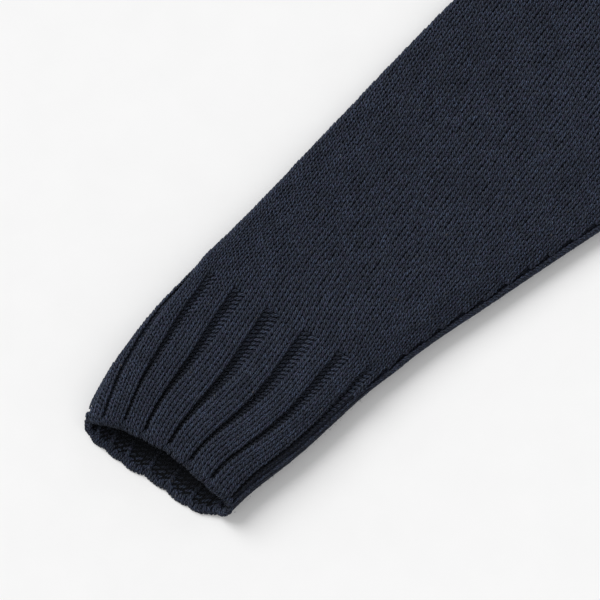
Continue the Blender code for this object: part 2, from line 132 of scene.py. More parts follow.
# New wales: how many a metre above the rib, how far up, and those round the underarm's corner.
NEW_WALES = (34.3, 0.34)
UNDERARM_WALES = (0.443, 0.1865, 0.00403)
WALES_A_RIB = 5
GROOVE_START = 0.86
CUFF_RIB_END = 0.103
CUFF_DRIFT = 4.2
MOUTH_CROWD = (
    # share from fold to seam, how far the ribs at the mouth are pushed from there
    (0.0, 0.0), (0.12, -0.01), (0.26, -0.047), (0.39, -0.063), (0.52, -0.047), (0.65, -0.034),
    (0.78, -0.022), (0.92, -0.005), (1.0, 0.0),
)
CUFF_GROOVES = (
    # course, groove share of a rib
    (-0.01, 0.13), (0.02, 0.15), (0.05, 0.24), (0.075, 0.34), (0.1, 0.4), (0.12, 0.4),
)
CUFF_SCALLOPS = (0.0007, 0.0013)
MOUTH_SETBACK = (
    # share from fold to seam, how far back the upper edge lies, and the lower edge
    (0.0, 0.0004, 0.0004), (0.07, -0.0004, 0.0008), (0.2, 0.0026, 0.0003), (0.36, 0.005, -0.0006),
    (0.5, 0.0062, 0.0006), (0.65, 0.0052, 0.0004), (0.82, 0.0038, 0.0009), (0.93, 0.0044, 0.0044),
    (1.0, 0.0028, 0.0028),
)
MOUTH_REACH = 0.080
CUFF_SPREAD = (
    # course, how much the middle opens
    (-0.01, -0.06), (0.0, -0.06), (0.03, 0.12), (0.065, 0.26), (0.09, 0.3), (0.115, 0.3),
    (0.15, 0.22), (0.2, 0.16), (0.29, 0.1), (0.45, 0.0),
)
# Beside the underarm seam: how far in from the edge, how wide and how high.
SEAM_GROOVE = (0.0052, 0.0011, -0.0011)
SEAM_RIDGE = (0.0024, 0.0016, 0.0002)
# The long hollow beside the seam: how far in from it, how wide and how deep.
TROUGH = (0.0240, 0.0085, 0.0011)
# Where a thing starts to change, and over what length: the hollow's two ends up the sleeve, the
# grooves from closed to open, the light in the mouth, the wandering of the wales above the ribs,
# and the neckband's turn at the ends of the neckline, in shares of its half width.
TROUGH_START = (0.185, 0.05)
TROUGH_END = (0.33, 0.08)
GROOVE_OPENS = (0.015, 0.07)
MOUTH_LIGHT = (0.001, 0.009)
DRIFT_START = (0.09, 0.05)
BAND_TURN = (0.90, 0.10)
BAND_EASE = (0.85, 0.15)
# What the rolled edges add to a course line at the mouth, and how far up they do.
ROLLED_LENGTH = (0.0035, 0.4)
# How far up the cuff the mouth's two more wales and the crowding of its ribs reach.
MOUTH_WALES_END = 0.09
MOUTH_CROWD_END = 0.075
# How far up the sleeve its top edge starts to bow round the armhole.
BOW_START = 0.30
FLOOR_GAP = 0.0001
UNDER_YARN = 0.0009
ARMHOLE_GAP = 0.0012
PANEL_GAP = 0.0018
# Painted shade, a factor on the wool's colour, on the cloth seen between the stitches.
SHADE_BEHIND_STITCHES = 0.55
# Painted shade in the mouth: near full light at the lip, nearly black deep inside and on the inner
# skin.
MOUTH_SHADES = (0.95, 0.04)
# Painted shade in the cuff's closed grooves, and the painted shadow a rib casts on the purl wale
# beside its steep side.
GROOVE_SHADE = 0.09
SIDE_SHADE = 0.60
# Painted shade on the purl grooves of the hem and the neckband.
PURL_SHADE = 0.55
SEAM_SHADE = 1.15
RIM_LENGTH = 0.0041
# The rim's rows get painted shade where they turn away from the light, into the mouth or under the
# lip.
RIM_ROWS = (
    # share round the lip, shade on the upper edge, shade on the lower edge
    (0.15, 0.9, 0.6), (0.5, 0.5, 0.9), (0.85, 0.12, 0.95),
)
PLY_WIDTH = 0.00120
PLY_LEAN = math.radians(34)
LINK_WIDTH = 0.0032
SEAM_ROW = 0.0024

# Soft creases of the front, as it lies: x and height of both ends, width and depth.
FRONT_CREASES = (
    (-0.236, 0.398, -0.118, 0.318, 0.01, 0.0018), (-0.226, 0.352, -0.15, 0.296, 0.008, 0.0012),
    (0.238, 0.392, 0.136, 0.33, 0.011, 0.0017), (0.214, 0.3, 0.118, 0.236, 0.012, 0.0011),
    (-0.15, 0.118, -0.06, 0.18, 0.012, 0.0011),
)


# Plain mathematics

def smooth_step(value, start=0.0, length=1.0):
    """Ease from 0 at a start to 1 a length further on."""
    share = np.clip((value - start) / length, 0.0, 1.0)
    return share * share * (3.0 - 2.0 * share)


def through(rows, places, column=1):
    """A smooth curve through a table's rows, read at places: cubic pieces that share slopes."""
    knots = np.array([row[0] for row in rows], float)
    values = np.array([row[column] for row in rows], float)
    slopes = np.gradient(values, knots)
    places = np.clip(places, knots[0], knots[-1])
    left = np.clip(np.searchsorted(knots, places, side="right") - 1, 0, len(knots) - 2)
    span = knots[left + 1] - knots[left]
    share = (places - knots[left]) / span
    start = (1 + 2 * share) * (1 - share) ** 2 * values[left]
    leave = share * (1 - share) ** 2 * span * slopes[left]
    end = share ** 2 * (3 - 2 * share) * values[left + 1]
    arrive = share ** 2 * (share - 1) * span * slopes[left + 1]
    return start + leave + end + arrive


def unit(vectors):
    """Vectors of length 1."""
    return vectors / np.maximum(np.linalg.norm(vectors, axis=-1, keepdims=True), 1e-12)


def number_between(lines, value):
    """Which of a row of rising lines a value lies past, as a number between two of them."""
    index = np.clip((lines <= value[..., None]).sum(-1) - 1, 0, lines.shape[-1] - 2)
    start = np.take_along_axis(lines, index[..., None], -1)[..., 0]
    stop = np.take_along_axis(lines, index[..., None] + 1, -1)[..., 0]
    return index + np.clip((value - start) / (stop - start), 0.0, 1.0)


def path_lengths(path):
    """Length of a path up to each of its points."""
    return np.concatenate(((0,), np.cumsum(np.linalg.norm(np.diff(path, axis=0), axis=1))))


def read_path(place, places, table):
    """A table's columns read at places between its rows, by straight lines."""
    columns = [np.interp(place, places, column) for column in np.transpose(table)]
    return np.stack(columns, axis=-1)


ARC_STEPS = 24


def rolled_profile(place, half_width, rise, reach):
    """Across and up at a share of a rolled section's length: a quarter ellipse at each end
    and a flat between them. The share runs from the left edge at 0 to the right edge at 1."""
    place, half_width, rise, reach = np.broadcast_arrays(place, half_width, rise, reach)
    turn = np.linspace(0.0, math.pi / 2, ARC_STEPS)
    middle = (turn[1:] + turn[:-1]) / 2
    steps = np.hypot(reach[..., None] * np.sin(middle), rise[..., None] * np.cos(middle))
    lengths = np.cumsum(steps * turn[1], axis=-1)
    lengths = np.concatenate((np.zeros(lengths.shape[:-1] + (1,)), lengths), axis=-1)
    quarter = lengths[..., -1]
    total = 2 * (quarter + half_width - reach)
    from_edge = np.minimum(place, 1 - place) * total
    on_roll = np.clip(from_edge, 0.0, quarter)
    angle = number_between(lengths, on_roll) * turn[1]
    inward = reach * (1 - np.cos(angle)) + np.maximum(from_edge - quarter, 0.0)
    across = np.where(place < 0.5, inward - half_width, half_width - inward)
    return across, rise * np.sin(angle)


def from_hem(x, height, z):
    """Points of the garment, whose heights count from the hem."""
    return np.stack((x, height + HEM_Y, z), axis=-1)


def roll(distance, reach):
    """Rise from 0 at a rolled edge to 1 past its reach, as a quarter ellipse does."""
    share = np.clip(distance / reach, 0.0, 1.0)
    return np.sqrt(1.0 - (1.0 - share) ** 2)


# Sleeve surface

def fold_aside(along):
    """Place of the sleeve's folded edge across the sleeve."""
    return through(FOLD_EDGE, along)


def seam_aside(along):
    """Place of the sleeve's seamed edge across it, carried on straight past the underarm."""
    past = np.maximum(along - SEAM_EDGE[-1][0], 0.0)
    return through(SEAM_EDGE, along) + SEAM_END_SLOPE * past


def to_floor(aside, along, height):
    """Turn the left sleeve's own frame into the garment's: x, y and z."""
    x = MOUTH_CENTRE[0] + aside * math.sin(SLEEVE_SLOPE) + along * math.cos(SLEEVE_SLOPE)
    y = MOUTH_CENTRE[1] - aside * math.cos(SLEEVE_SLOPE) + along * math.sin(SLEEVE_SLOPE)
    return from_hem(x, y, height)


def section_number(aside, along):
    """Which section of the sleeve passes through a place, as a number between two of them."""
    left = fold_aside(along)
    share = np.clip((aside - left) / (seam_aside(along) - left), 0.0, 1.0)
    sections = np.array(SLEEVE_SECTIONS)
    lines = sections[:, 0] + share[..., None] * (sections[:, 1] - sections[:, 0])
    return number_between(lines, along)


def by_section(number, column):
    """One column of the sleeve's sections, read smoothly at section numbers."""
    rows = [(index, row[column]) for index, row in enumerate(SLEEVE_SECTIONS)]
    return through(rows, number)


def trough(aside, along):
    """How far the sleeve's top sinks in its long soft hollow beside the underarm seam."""
    inset, width, depth = TROUGH
    length = smooth_step(along, *TROUGH_START) * (1 - smooth_step(along, *TROUGH_END))
    return depth * length * np.exp(-((aside - (seam_aside(along) - inset)) / width) ** 2)


def mouth_setback(share, under, course):
    """How far the mouth's upper and lower edges lie back at a share from fold to seam, fading
    out up the cuff."""
    back = np.where(under, through(MOUTH_SETBACK, share, 2), through(MOUTH_SETBACK, share))
    return back * (1 - smooth_step(course / MOUTH_REACH))


def course_ends(course):
    """Where a course line meets the sleeve's fold and its seam: along and aside of each."""
    tilt = through(COURSE_TILTS, course)
    fold_along = course + tilt * fold_aside(course)
    seam_along = course + tilt * seam_aside(course)
    return fold_along, fold_aside(fold_along), seam_along, seam_aside(seam_along)


def section_line(folded, under, number, ends, course, inset):
    """Height of a section of the sleeve, share of the straight line between its two ends, aside
    and along of the line there, and rise off the section's middle, as a rolled section has it."""
    fold_along, left, seam_along, right = ends
    height = by_section(number, 2)
    reach = np.where(under, by_section(number, 4), by_section(number, 3)) - inset
    full = np.hypot(right - left, seam_along - fold_along) / 2
    half = full - inset - RIB_RELIEF * rib_fade(course, CUFF_RIB_END)
    across, rise = rolled_profile(folded, half, height / 2 - inset, reach)
    share = across / full / 2 + 0.5
    return (height, share, left + share * (right - left),
            fold_along + share * (seam_along - fold_along), rise)


def section_points(number, under, share, aside, along, middle, rise, course):
    """Points of a section line: above or below its middle, leaning back as they rise, and set
    back at the mouth."""
    z = middle + np.where(under, -rise, rise - trough(aside, along))
    along = along + by_section(number, 5) * (z - middle) + mouth_setback(share, under, course)
    return to_floor(aside, along, z)


def sleeve_base(place, course, inset=0.0):
    """The sleeve's outer face at a share of a course line and that line's distance up the
    sleeve. The share is 0 at the fold and 1 at the seam; below 0 and past 1 it is the
    underside. Across, it follows a rolled section; along, the line leans by its tilt, and
    near the mouth it leans back as it rises. The inset gives the inner face."""
    under = (place < 0) | (place > 1)
    folded = np.where(place < 0, -place, np.where(place > 1, 2 - place, place))
    ends = course_ends(course)
    number = section_number(ends[1] * 0.5 + ends[3] * 0.5, course)
    height, share, aside, along, rise = section_line(folded, under, number, ends, course, inset)
    middle = by_section(section_number(aside, along), 2) / 2
    rise = middle * rise / (height / 2)
    return section_points(number, under, share, aside, along, middle, rise, course)


def course_length(course):
    """Length of a course line over the sleeve's top, from the fold to the seam."""
    fold_along, left, seam_along, right = course_ends(course)
    added, reach = ROLLED_LENGTH
    rolled = added * (1 - smooth_step(course / reach))
    return np.hypot(right - left, seam_along - fold_along) + rolled


def wales_passed(course):
    """How many wales have crossed the fold by a course, because they lean towards it."""
    below = CUFF_DRIFT * np.minimum(course, CUFF_RIB_END) / CUFF_RIB_END
    above = np.maximum(course - CUFF_RIB_END, 0.0)
    moved = fold_aside(np.maximum(course, CUFF_RIB_END)) - fold_aside(CUFF_RIB_END)
    return below + (moved + WALE_LEAN * above) / WALE_WIDTH


def wale_count(course):
    """Number of wales over the sleeve's top: those of the cuff, then more up to the underarm."""
    above = np.maximum(course - CUFF_RIB_END, 0.0)
    full = CUFF_WALES + NEW_WALES[0] * np.minimum(above, NEW_WALES[1])
    full = full + (MOUTH_WALES - CUFF_WALES) * (1 - smooth_step(course / MOUTH_WALES_END))
    start, narrow, wale = UNDERARM_WALES
    width = seam_aside(course) - fold_aside(course)
    return full + np.where(course > start, (width - narrow) / wale, 0.0)


def shifted(place, course):
    """How far a share of a course line is moved: the middle of the sleeve is stretched more than
    its edges, and at the mouth the ribs crowd towards the fold."""
    stretched = through(CUFF_SPREAD, course) / (2 * math.pi) * np.sin(2 * math.pi * place)
    crowded = through(MOUTH_CROWD, place) * (1 - smooth_step(course / MOUTH_CROWD_END))
    return crowded - stretched


def sleeve_place(wale, course):
    """Share of the course line where a wale lies: ribs open up the cuff, and new wales start at
    the seam above it."""
    ribs = rib_places(wale, through(CUFF_GROOVES, course), GROOVE_START)
    place = (WALES_A_RIB * ribs - wales_passed(course)) / wale_count(course)
    return place + shifted(place, course)


def cuff_ribs(place, course):
    """The other way round: the ribs counted from the first groove, at a share of a course."""
    flat = place
    for _ in range(8):
        flat = place - shifted(flat, course)
    return (flat * wale_count(course) + wales_passed(course)) / WALES_A_RIB


def rib_places(wale, groove, start):
    """Turn wales into ribs of five: a groove's two purl wales close up to its share of the rib,
    and the three knit wales fill the rest. Wale 0 is the middle of the first groove."""
    rib = np.floor(wale / WALES_A_RIB)
    inside = wale - WALES_A_RIB * rib
    rising = inside * groove / 2
    knitted = groove / 2 + (inside - 1) / 3 * (1 - groove)
    falling = 1 - (WALES_A_RIB - inside) * groove / 2
    share = np.where(inside < 1, rising, np.where(inside < 4, knitted, falling))
    return rib + start + share


def inside_rib(place, groove, start):
    """The other way round: where in its rib of five wales a place in ribs lies."""
    share = (place - start) - np.floor(place - start)
    rising = share / (groove / 2)
    falling = WALES_A_RIB - (1 - share) / (groove / 2)
    knitted = 1 + (share - groove / 2) / (1 - groove) * 3
    return np.where(share < groove / 2, rising, np.where(share > 1 - groove / 2, falling, knitted))


def purl_wales(wale):
    """True on the two purl wales of a rib of five, which lie in its groove."""
    return np.isin(np.floor(np.mod(wale, WALES_A_RIB)), (0, WALES_A_RIB - 1))


def rib_shape(inside):
    """Height share across one rib of five wales: 0 in the groove, 1 on the three knit wales. It
    climbs softly from one groove and drops steeply into the next."""
    climb = smooth_step((inside + 0.1) / 1.5)
    drop = smooth_step((WALES_A_RIB - inside - 0.60) / 0.60)
    crown = 0.18 * np.sin(np.clip((inside - 1) / 3, 0, 1) * math.pi)
    return np.minimum(climb, drop) + crown


def rib_fade(course, end):
    """How much of the rib's relief is left on a course line near the rib's end."""
    return 1 - smooth_step((course - end + 0.014) / 0.022)


def rib_lift(inside, course, end, low, high):
    """Lift of the ribbed cloth: low in the groove, high on the knit wales, 0 past the end."""
    return (low + (high - low) * rib_shape(inside)) * rib_fade(course, end)


def seam_lift(place, course):
    """Lift beside the underarm seam: a narrow groove with a small ridge outside it."""
    inward = (1 - place) * course_length(course)
    return sum(height * np.exp(-((inward - middle) / width) ** 2)
               for middle, width, height in (SEAM_GROOVE, SEAM_RIDGE))


# Body surface

def armhole_point(share):
    """The armhole's curve: a cubic with four pulls, from the underarm to the shoulder tip."""
    weights = [math.comb(3, turn) * share ** turn * (1 - share) ** (3 - turn) for turn in range(4)]
    return np.stack(weights, axis=-1) @ np.array(ARMHOLE_PULLS)


def armhole_x(height):
    """Half width of the body at a height between the underarm and the shoulder tip."""
    curve = armhole_point(np.linspace(0.0, 1.0, 200))
    return np.interp(height, curve[:, 1], curve[:, 0])


def shoulder_height(x):
    """Height of the shoulder line, carried on past both of its ends."""
    rise = (NECK_POINT[1] - SHOULDER_TIP[1]) / (SHOULDER_TIP[0] - NECK_POINT[0])
    return NECK_POINT[1] + (NECK_POINT[0] - np.abs(x)) * rise


def top_edge(x, neck):
    """Upper outline of a panel: the neckline between the neck points, else the shoulder."""
    depth, power = neck
    share = np.clip(np.abs(x) / NECK_POINT[0], 0.0, 1.0)
    neckline = NECK_POINT[1] - depth * (1.0 - share ** power)
    return np.where(np.abs(x) < NECK_POINT[0], neckline, shoulder_height(x))


def edge_distance(x, height):
    """Distance from the nearest sewn edge of the body, its side or its shoulder."""
    side = through(BODY_SIDES, height) - np.abs(x)
    run = SHOULDER_TIP[0] - NECK_POINT[0]
    drop = NECK_POINT[1] - SHOULDER_TIP[1]
    shoulder = (shoulder_height(x) - height) * run / math.hypot(run, drop)
    return np.minimum(side, shoulder)


def crease_depth(x, height):
    """How far the front sinks in its creases, each a bell across its line, fading at its ends."""
    sunk = 0.0
    for start_x, start_y, stop_x, stop_y, width, depth in FRONT_CREASES:
        run, climb = stop_x - start_x, stop_y - start_y
        length = math.hypot(run, climb)
        share = ((x - start_x) * run + (height - start_y) * climb) / length ** 2
        off = ((x - start_x) * climb - (height - start_y) * run) / length
        fade = smooth_step(share / 0.3 + 0.5) * smooth_step((1 - share) / 0.5 + 0.3)
        sunk = sunk + depth * fade * np.exp(-(off / width) ** 2)
    return sunk


def layer_height(x, height, upward, inside):
    """Height off the floor of a panel's outer or inner face, rolled down at its sewn edges."""
    thick = WALL if inside else 0.0
    rise = BODY_HEIGHT / 2 - SEAM_GAP / 2 - thick
    rolled = roll(edge_distance(x, height) - thick, EDGE_REACH - thick)
    sunk = crease_depth(x, height) * rolled if upward > 0 else 0.0
    return BODY_HEIGHT / 2 + upward * (SEAM_GAP / 2 + rise * rolled) - sunk


def panel_plan(up, across, neck, inside):
    """Plan of a panel's rows: up is 0 at the hem, 1 at the underarm and 2 at the shoulder,
    across runs from -1 to 1. Rows are level at the hem and bend to the neck and shoulders."""
    half = through(BODY_SIDES, np.clip(up, 0, 1) * UNDERARM[1])
    rows = np.array(ARMHOLE_ROWS)
    number = np.clip(up - 1, 0, 1) * (len(rows) - 1)
    steps = np.arange(len(rows))
    curve_share = np.interp(number, steps, rows[:, 0])
    panel_share = np.interp(number, steps, rows[:, 1])
    edge = armhole_point(curve_share)
    half = np.where(up > 1, edge[..., 0], half)
    x = across * half
    on_top = across * SHOULDER_TIP[0]
    crest = top_edge(on_top, neck)
    middle = UNDERARM[1] + panel_share * (crest - UNDERARM[1])
    side = edge[..., 1] + (crest - SHOULDER_TIP[1]) * panel_share
    bent = side + (middle - side) * smooth_step((1 - np.abs(across)) / 0.35)
    y = np.where(up > 1, bent, np.clip(up, 0, 1) * UNDERARM[1])
    if inside:
        below = 1 - smooth_step((side - UNDERARM[1]) / 0.006)
        inset = WALL * np.where(up > 1, below, 1.0)
        x = x - np.sign(x) * inset * np.clip(1 - (half - np.abs(x)) / EDGE_REACH, 0, 1)
        on_shoulder = np.clip((np.abs(on_top) - NECK_POINT[0]) / 0.004 + 1.0, 0.0, 1.0)
        near_shoulder = np.clip(1.0 - (crest - y) / EDGE_REACH, 0.0, 1.0)
        y = y - WALL * on_shoulder * near_shoulder
    return x, y


def front_base(place, height):
    """The front's outer face at a share of its width, 0 to 1, and a height above the hem."""
    half = through(BODY_SIDES, height) - RIB_RELIEF * rib_fade(height, HEM_RIB_END)
    across, _ = rolled_profile(place, half, BODY_HEIGHT / 2 - SEAM_GAP / 2, EDGE_REACH)
    z = layer_height(across, height, 1, False)
    return from_hem(across, height, z)


def lifted(base, place, course, lift):
    """A base surface's points, moved outwards by lift along its own normals."""
    step = 0.002
    beside = base(place + step, course) - base(place - step, course)
    ahead = base(place, course + step) - base(place, course - step)
    return base(place, course) + unit(np.cross(beside, ahead)) * lift[..., None]


def hem_shape(inside, height):
    """How far the hem's ribs stand out past its line, and how far they are lifted."""
    scallop = SCALLOP * rib_shape(inside) * (1 - smooth_step(height / SCALLOP_FADE))
    return scallop, rib_lift(inside, height, HEM_RIB_END, *RIB_LIFTS)


def front_knit_surface(wale, height):
    """The front's outer face at a wale and a height, with the hem's ribs raised."""
    place = rib_places(wale, through(HEM_GROOVES, height), 0.5) / HEM_RIBS
    scallop, relief = hem_shape(np.mod(wale, WALES_A_RIB), height)
    return lifted(front_base, place, height - scallop, relief)


# Neckband surface

def band_line():
    """The neckline that the band is picked up on: left to right along the front, then back along
    the back, in 800 steps. Gives points, inward directions and shares of the way round."""
    halves = []
    for neck, upward in ((FRONT_NECK, 1), (BACK_NECK, -1)):
        turn = np.linspace(-math.pi / 2, math.pi / 2, 401) * upward
        x = NECK_POINT[0] * np.sin(turn)
        y = top_edge(x * 0.999999, neck)
        z = layer_height(x, y, upward, False)
        z[0] = z[-1] = BODY_HEIGHT / 2
        line = np.column_stack((x, y, z))
        length = path_lengths(line)
        ahead = unit(np.gradient(line[:, :2], axis=0)) * upward
        side = np.abs(x) / NECK_POINT[0]
        inward = np.column_stack((-ahead[:, 1], ahead[:, 0] + BAND_LIFT * side ** 4, 0 * x))
        at_fold = smooth_step(side, *BAND_TURN)[:, None]
        fold_way = np.column_stack((-np.sign(x), np.full(len(x), BAND_LIFT), 0 * x))
        inward = unit(inward + at_fold * (fold_way - inward))
        place = length / length[-1] + (0 if upward > 0 else 1)
        halves.append([part[upward < 0:] for part in (line, inward, place)])
    return [np.concatenate(parts) for parts in zip(*halves)]


def band_base(place, course):
    """The neckband's outer face at a share round the neckline, 0 to 2, and a distance from the
    seam: a flat strip laid inwards from the neckline, front half on top and back half below."""
    line, inward, places = band_line()
    place = np.mod(place, 2.0)
    points = read_path(place, places, line)
    at_fold = smooth_step(np.abs(points[..., 0]) / NECK_POINT[0], *BAND_EASE)
    way = unit(read_path(place, places, inward))
    points = points + way * (SEAM_GAP * (1 + 3 * at_fold) + course)[..., None]
    points[..., 1] += HEM_Y
    return points


def band_place(wale):
    """Share round the neckline of a wale of the band, 80 at the front and 70 at the back."""
    ribs = rib_places(wale, BAND_GROOVE, 0.5)
    front, back = BAND_RIBS
    return np.where(ribs < front, ribs / front, 1 + (ribs - front) / back)


def band_relief(inside, course):
    """How far the neckband's ribs stand off its flat face."""
    low, high = BAND_LIFTS
    return (low + (high - low) * rib_shape(inside)) * smooth_step(course / 0.003 + 0.3)


def band_knit_surface(wale, course):
    """The neckband's outer face at a wale and a distance from the seam, with its ribs raised."""
    relief = band_relief(np.mod(wale, WALES_A_RIB), course)
    return lifted(band_base, band_place(wale), course, relief)


def band_inner_surface(wale, course):
    """The inner face of the neckband's back half, which looks up through the neck. Wales are
    counted back from its left end."""
    place = 2 - rib_places(wale, BAND_GROOVE, 0.5) / BAND_RIBS[1]
    relief = band_relief(np.mod(wale, WALES_A_RIB), course)
    return lifted(band_base, place, course, -WALL - relief)


def back_inner_surface(wale, height):
    """The back's inner face, seen through the neck, at a wale from its middle and a height."""
    x = wale * WALE_WIDTH
    return from_hem(x, height, layer_height(x, height, -1, True))


# Mesh making

def new_piece(name, points, faces, tints_and_painted_shades, coordinates, map_name, material):
    """Put points and faces of one size into a mesh, with tint and painted shade at each point, and
    a map: knit for cloth, in wales and courses, or yarn for stitches, across and along the yarn."""
    mesh = bpy.data.meshes.new(name)
    points = np.ascontiguousarray(points.reshape(-1, 3), dtype=np.float32)
    faces = np.ascontiguousarray(faces, dtype=np.int32)
    sides = faces.shape[1]
    mesh.vertices.add(len(points))
    mesh.vertices.foreach_set("co", points.ravel())
    mesh.loops.add(faces.size)
    mesh.loops.foreach_set("vertex_index", faces.ravel())
    mesh.polygons.add(len(faces))
    mesh.polygons.foreach_set("loop_start", np.arange(0, faces.size, sides, dtype=np.int32))
    mesh.update(calc_edges=True)
    mesh.validate()
    layer = mesh.attributes.new("tint_and_painted_shade", "FLOAT", "POINT")
    layer.data.foreach_set("value", np.ascontiguousarray(tints_and_painted_shades, dtype=np.float32).ravel())
    layer = mesh.uv_layers.new(name=map_name)
    corners = np.ascontiguousarray(coordinates[faces.ravel()], dtype=np.float32)
    layer.data.foreach_set("uv", corners.ravel())
    mesh.shade_smooth()
    mesh.materials.append(bpy.data.materials[material])
    piece = bpy.data.objects.new(name, mesh)
    bpy.context.scene.collection.objects.link(piece)
    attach(piece, "root")
    return piece


def cloth_piece(name, points, faces, shade, knit):
    """The thin sheet of cloth that stands for a node of the same name."""
    piece = new_piece(name + "_cloth", points, faces, shade, knit, "knit", "spun_wool_cloth")
    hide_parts(name)
    return piece


def grid_faces(rows, columns, start=0, closed=False, flip=False):
    """Four-sided faces of a grid of points; closed joins its last column to its first."""
    here = np.arange(rows * columns).reshape(rows, columns) + start
    if closed:
        here = np.concatenate((here, here[:, :1]), axis=1)
    quads = np.stack((here[:-1, :-1], here[:-1, 1:], here[1:, 1:], here[1:, :-1]), axis=-1)
    quads = quads.reshape(-1, 4)
    return quads[:, ::-1] if flip else quads


def tube_faces(rows, columns, flip=False):
    """Faces of a grid that is closed both ways, as the outer and inner skins of a tube are."""
    first = np.arange(columns)
    last = first + (rows - 1) * columns
    closing = np.stack((last, np.roll(last, -1), np.roll(first, -1), first), axis=-1)
    faces = grid_faces(rows, columns, closed=True, flip=flip)
    return np.concatenate((faces, closing[:, ::-1] if flip else closing))


def ring_normals(points):
    """Unit normals of rings of points, from the steps round them and from ring to ring."""
    around = np.roll(points, -1, axis=1) - np.roll(points, 1, axis=1)
    return unit(np.cross(around, np.gradient(points, axis=0)))


# Stitches

# Closed shapes of a length of yarn. Points are a share of its length, a place across it in half
# widths and one off the cloth in rises. A full leg has two rings of four points between its ends,
# a plain one is a wedge, and a fibre is a thin spindle.
FULL_LEG = (
    # share, across, off
    (0.0, 0.0, -0.6), (0.2, -1.0, -0.45), (0.2, -0.5, 0.8), (0.2, 0.5, 0.8), (0.2, 1.0, -0.45),
    (0.8, -1.0, -0.45), (0.8, -0.5, 1.0), (0.8, 0.5, 1.0), (0.8, 1.0, -0.45), (1.0, 0.0, -0.5),
)
FULL_FACES = (
    (0, 2, 1), (0, 3, 2), (0, 4, 3), (0, 1, 4),
    (1, 2, 6), (1, 6, 5), (2, 3, 7), (2, 7, 6),
    (3, 4, 8), (3, 8, 7), (4, 1, 5), (4, 5, 8),
    (9, 5, 6), (9, 6, 7), (9, 7, 8), (9, 8, 5),
)
PLAIN_LEG = (
    # share, across, off
    (0.04, 0.0, 0.55), (0.96, 0.0, 0.8), (0.5, -1.1, -0.6), (0.5, 1.1, -0.6),
)
PLAIN_FACES = ((0, 1, 2), (0, 3, 1), (0, 2, 3), (1, 3, 2))
FIBRE = (
    # share, across, off
    (0.0, 0.0, -1.0), (0.5, 1.0, 0.0), (0.5, 0.0, 0.25), (0.5, -1.0, 0.0), (1.0, 0.0, -0.4),
)
FIBRE_FACES = ((0, 1, 2), (0, 2, 3), (0, 3, 1), (4, 2, 1), (4, 3, 2), (4, 1, 3))
# A knit leg's two ends, as shares of a wale aside and of a course down or up, and its half width;
# the same for a purl bar.
LEG_ENDS = ((0.12, 0.68), (0.37, 0.70))
LEG_WIDTH = 0.25
BAR_END = (0.60, 0.46)
BAR_WIDTH = 0.34
# How uneven the stitches are: the ends of a leg and its rise, the slope of a bar and its rise,
# and the least and most tint.
LEG_SPREAD = (0.04, 0.14)
BAR_SPREAD = (0.06, 0.10)
TINT_SWING = (0.75, 1.25)
# How far bars, links and the rim stand off, as a share of a leg's rise.
LOW_RISE = 0.8
# Each with painted light on its colour: a plain leg's steep sides take less light than a
# full one's, so it is painted paler.
YARN_SHAPES = {
    "full": (FULL_LEG, FULL_FACES, 1.0),
    "plain": (PLAIN_LEG, PLAIN_FACES, 1.85),
    "fibre": (FIBRE, FIBRE_FACES, 1.0),
}


def leg_mesh(start, stop, out, radius, rise, shade, shape, seed):
    """Lengths of yarn from start to stop points; out is off the cloth. Gives points, faces,
    tints that swing by a quarter round each one's shade, and places on the yarn, across and
    along it in metres, so that its plies can be drawn."""
    draw = np.random.default_rng(seed)
    outline, pattern, painted_light = YARN_SHAPES[shape]
    share, over, lift = np.array(outline).T
    reach = np.linalg.norm(stop - start, axis=1)
    side = unit(np.cross(stop - start, out))
    points = start[:, None] + share[:, None] * (stop - start)[:, None]
    points = points + side[:, None] * (over * radius[:, None])[..., None]
    points = points + out[:, None] * (lift * rise[:, None])[..., None]
    count = len(share)
    faces = np.array(pattern)[None] + (np.arange(len(points)) * count)[:, None, None]
    # Painted shade and painted light times a random tint for each length of yarn.
    tints_and_painted_shades = np.repeat(shade * painted_light * draw.uniform(*TINT_SWING, len(start)), count)
    along = share * reach[:, None] + draw.random(len(start))[:, None]
    yarn = np.stack((1.2 * over * radius[:, None], along), axis=-1)
    return points.reshape(-1, 3), faces.reshape(-1, 3), tints_and_painted_shades, yarn.reshape(-1, 2)


def stitch_frame(surface, wale, course_number, course_height):
    """Middle, step across, step up, outward direction and shade of each stitch on a surface.
    Above the ribs the wales wander by up to a tenth of their width, as two slow waves."""
    course = course_number * course_height
    drift = 0.06 * np.sin(0.9 * wale + 210 * course) + 0.04 * np.sin(1.7 * wale - 330 * course)
    drift = drift * (0.15 + 0.85 * smooth_step(course, *DRIFT_START))
    centre = surface(wale + drift, course)
    across = surface(wale + drift + 0.5, course) - surface(wale + drift - 0.5, course)
    half = course_height / 2
    up = surface(wale + drift, course + half) - surface(wale + drift, course - half)
    out = unit(np.cross(across, up))
    return centre, across, up, out, np.ones(len(wale))


def knit_legs(placed, rise, seed, shape):
    """Two legs for each knit stitch: each starts low at the middle of the stitch and leans out
    to its top corner, 1.4 courses long. Each is jittered a little."""
    centre, across, up, out, shade = placed
    draw = np.random.default_rng(seed)
    many = len(centre)
    parts = []
    (low_aside, down), (high_aside, rising) = LEG_ENDS
    for hand in (-1.0, 1.0):
        jitter = draw.normal(0.0, LEG_SPREAD[0], (many, 4))
        low = centre + across * (hand * low_aside + jitter[:, :1] * 0.5)
        low = low - up * (down + jitter[:, 3:])
        high = centre + across * (hand * high_aside + jitter[:, 1:2] * 0.7)
        high = high + up * (rising - jitter[:, 3:])
        width = np.linalg.norm(across, axis=1) * LEG_WIDTH * (1 + jitter[:, 2])
        height = rise * (1.0 + draw.normal(0.0, LEG_SPREAD[1], many))
        parts.append(leg_mesh(low, high, out, width, height, shade, shape, seed + 3))
        seed += 1
    return parts


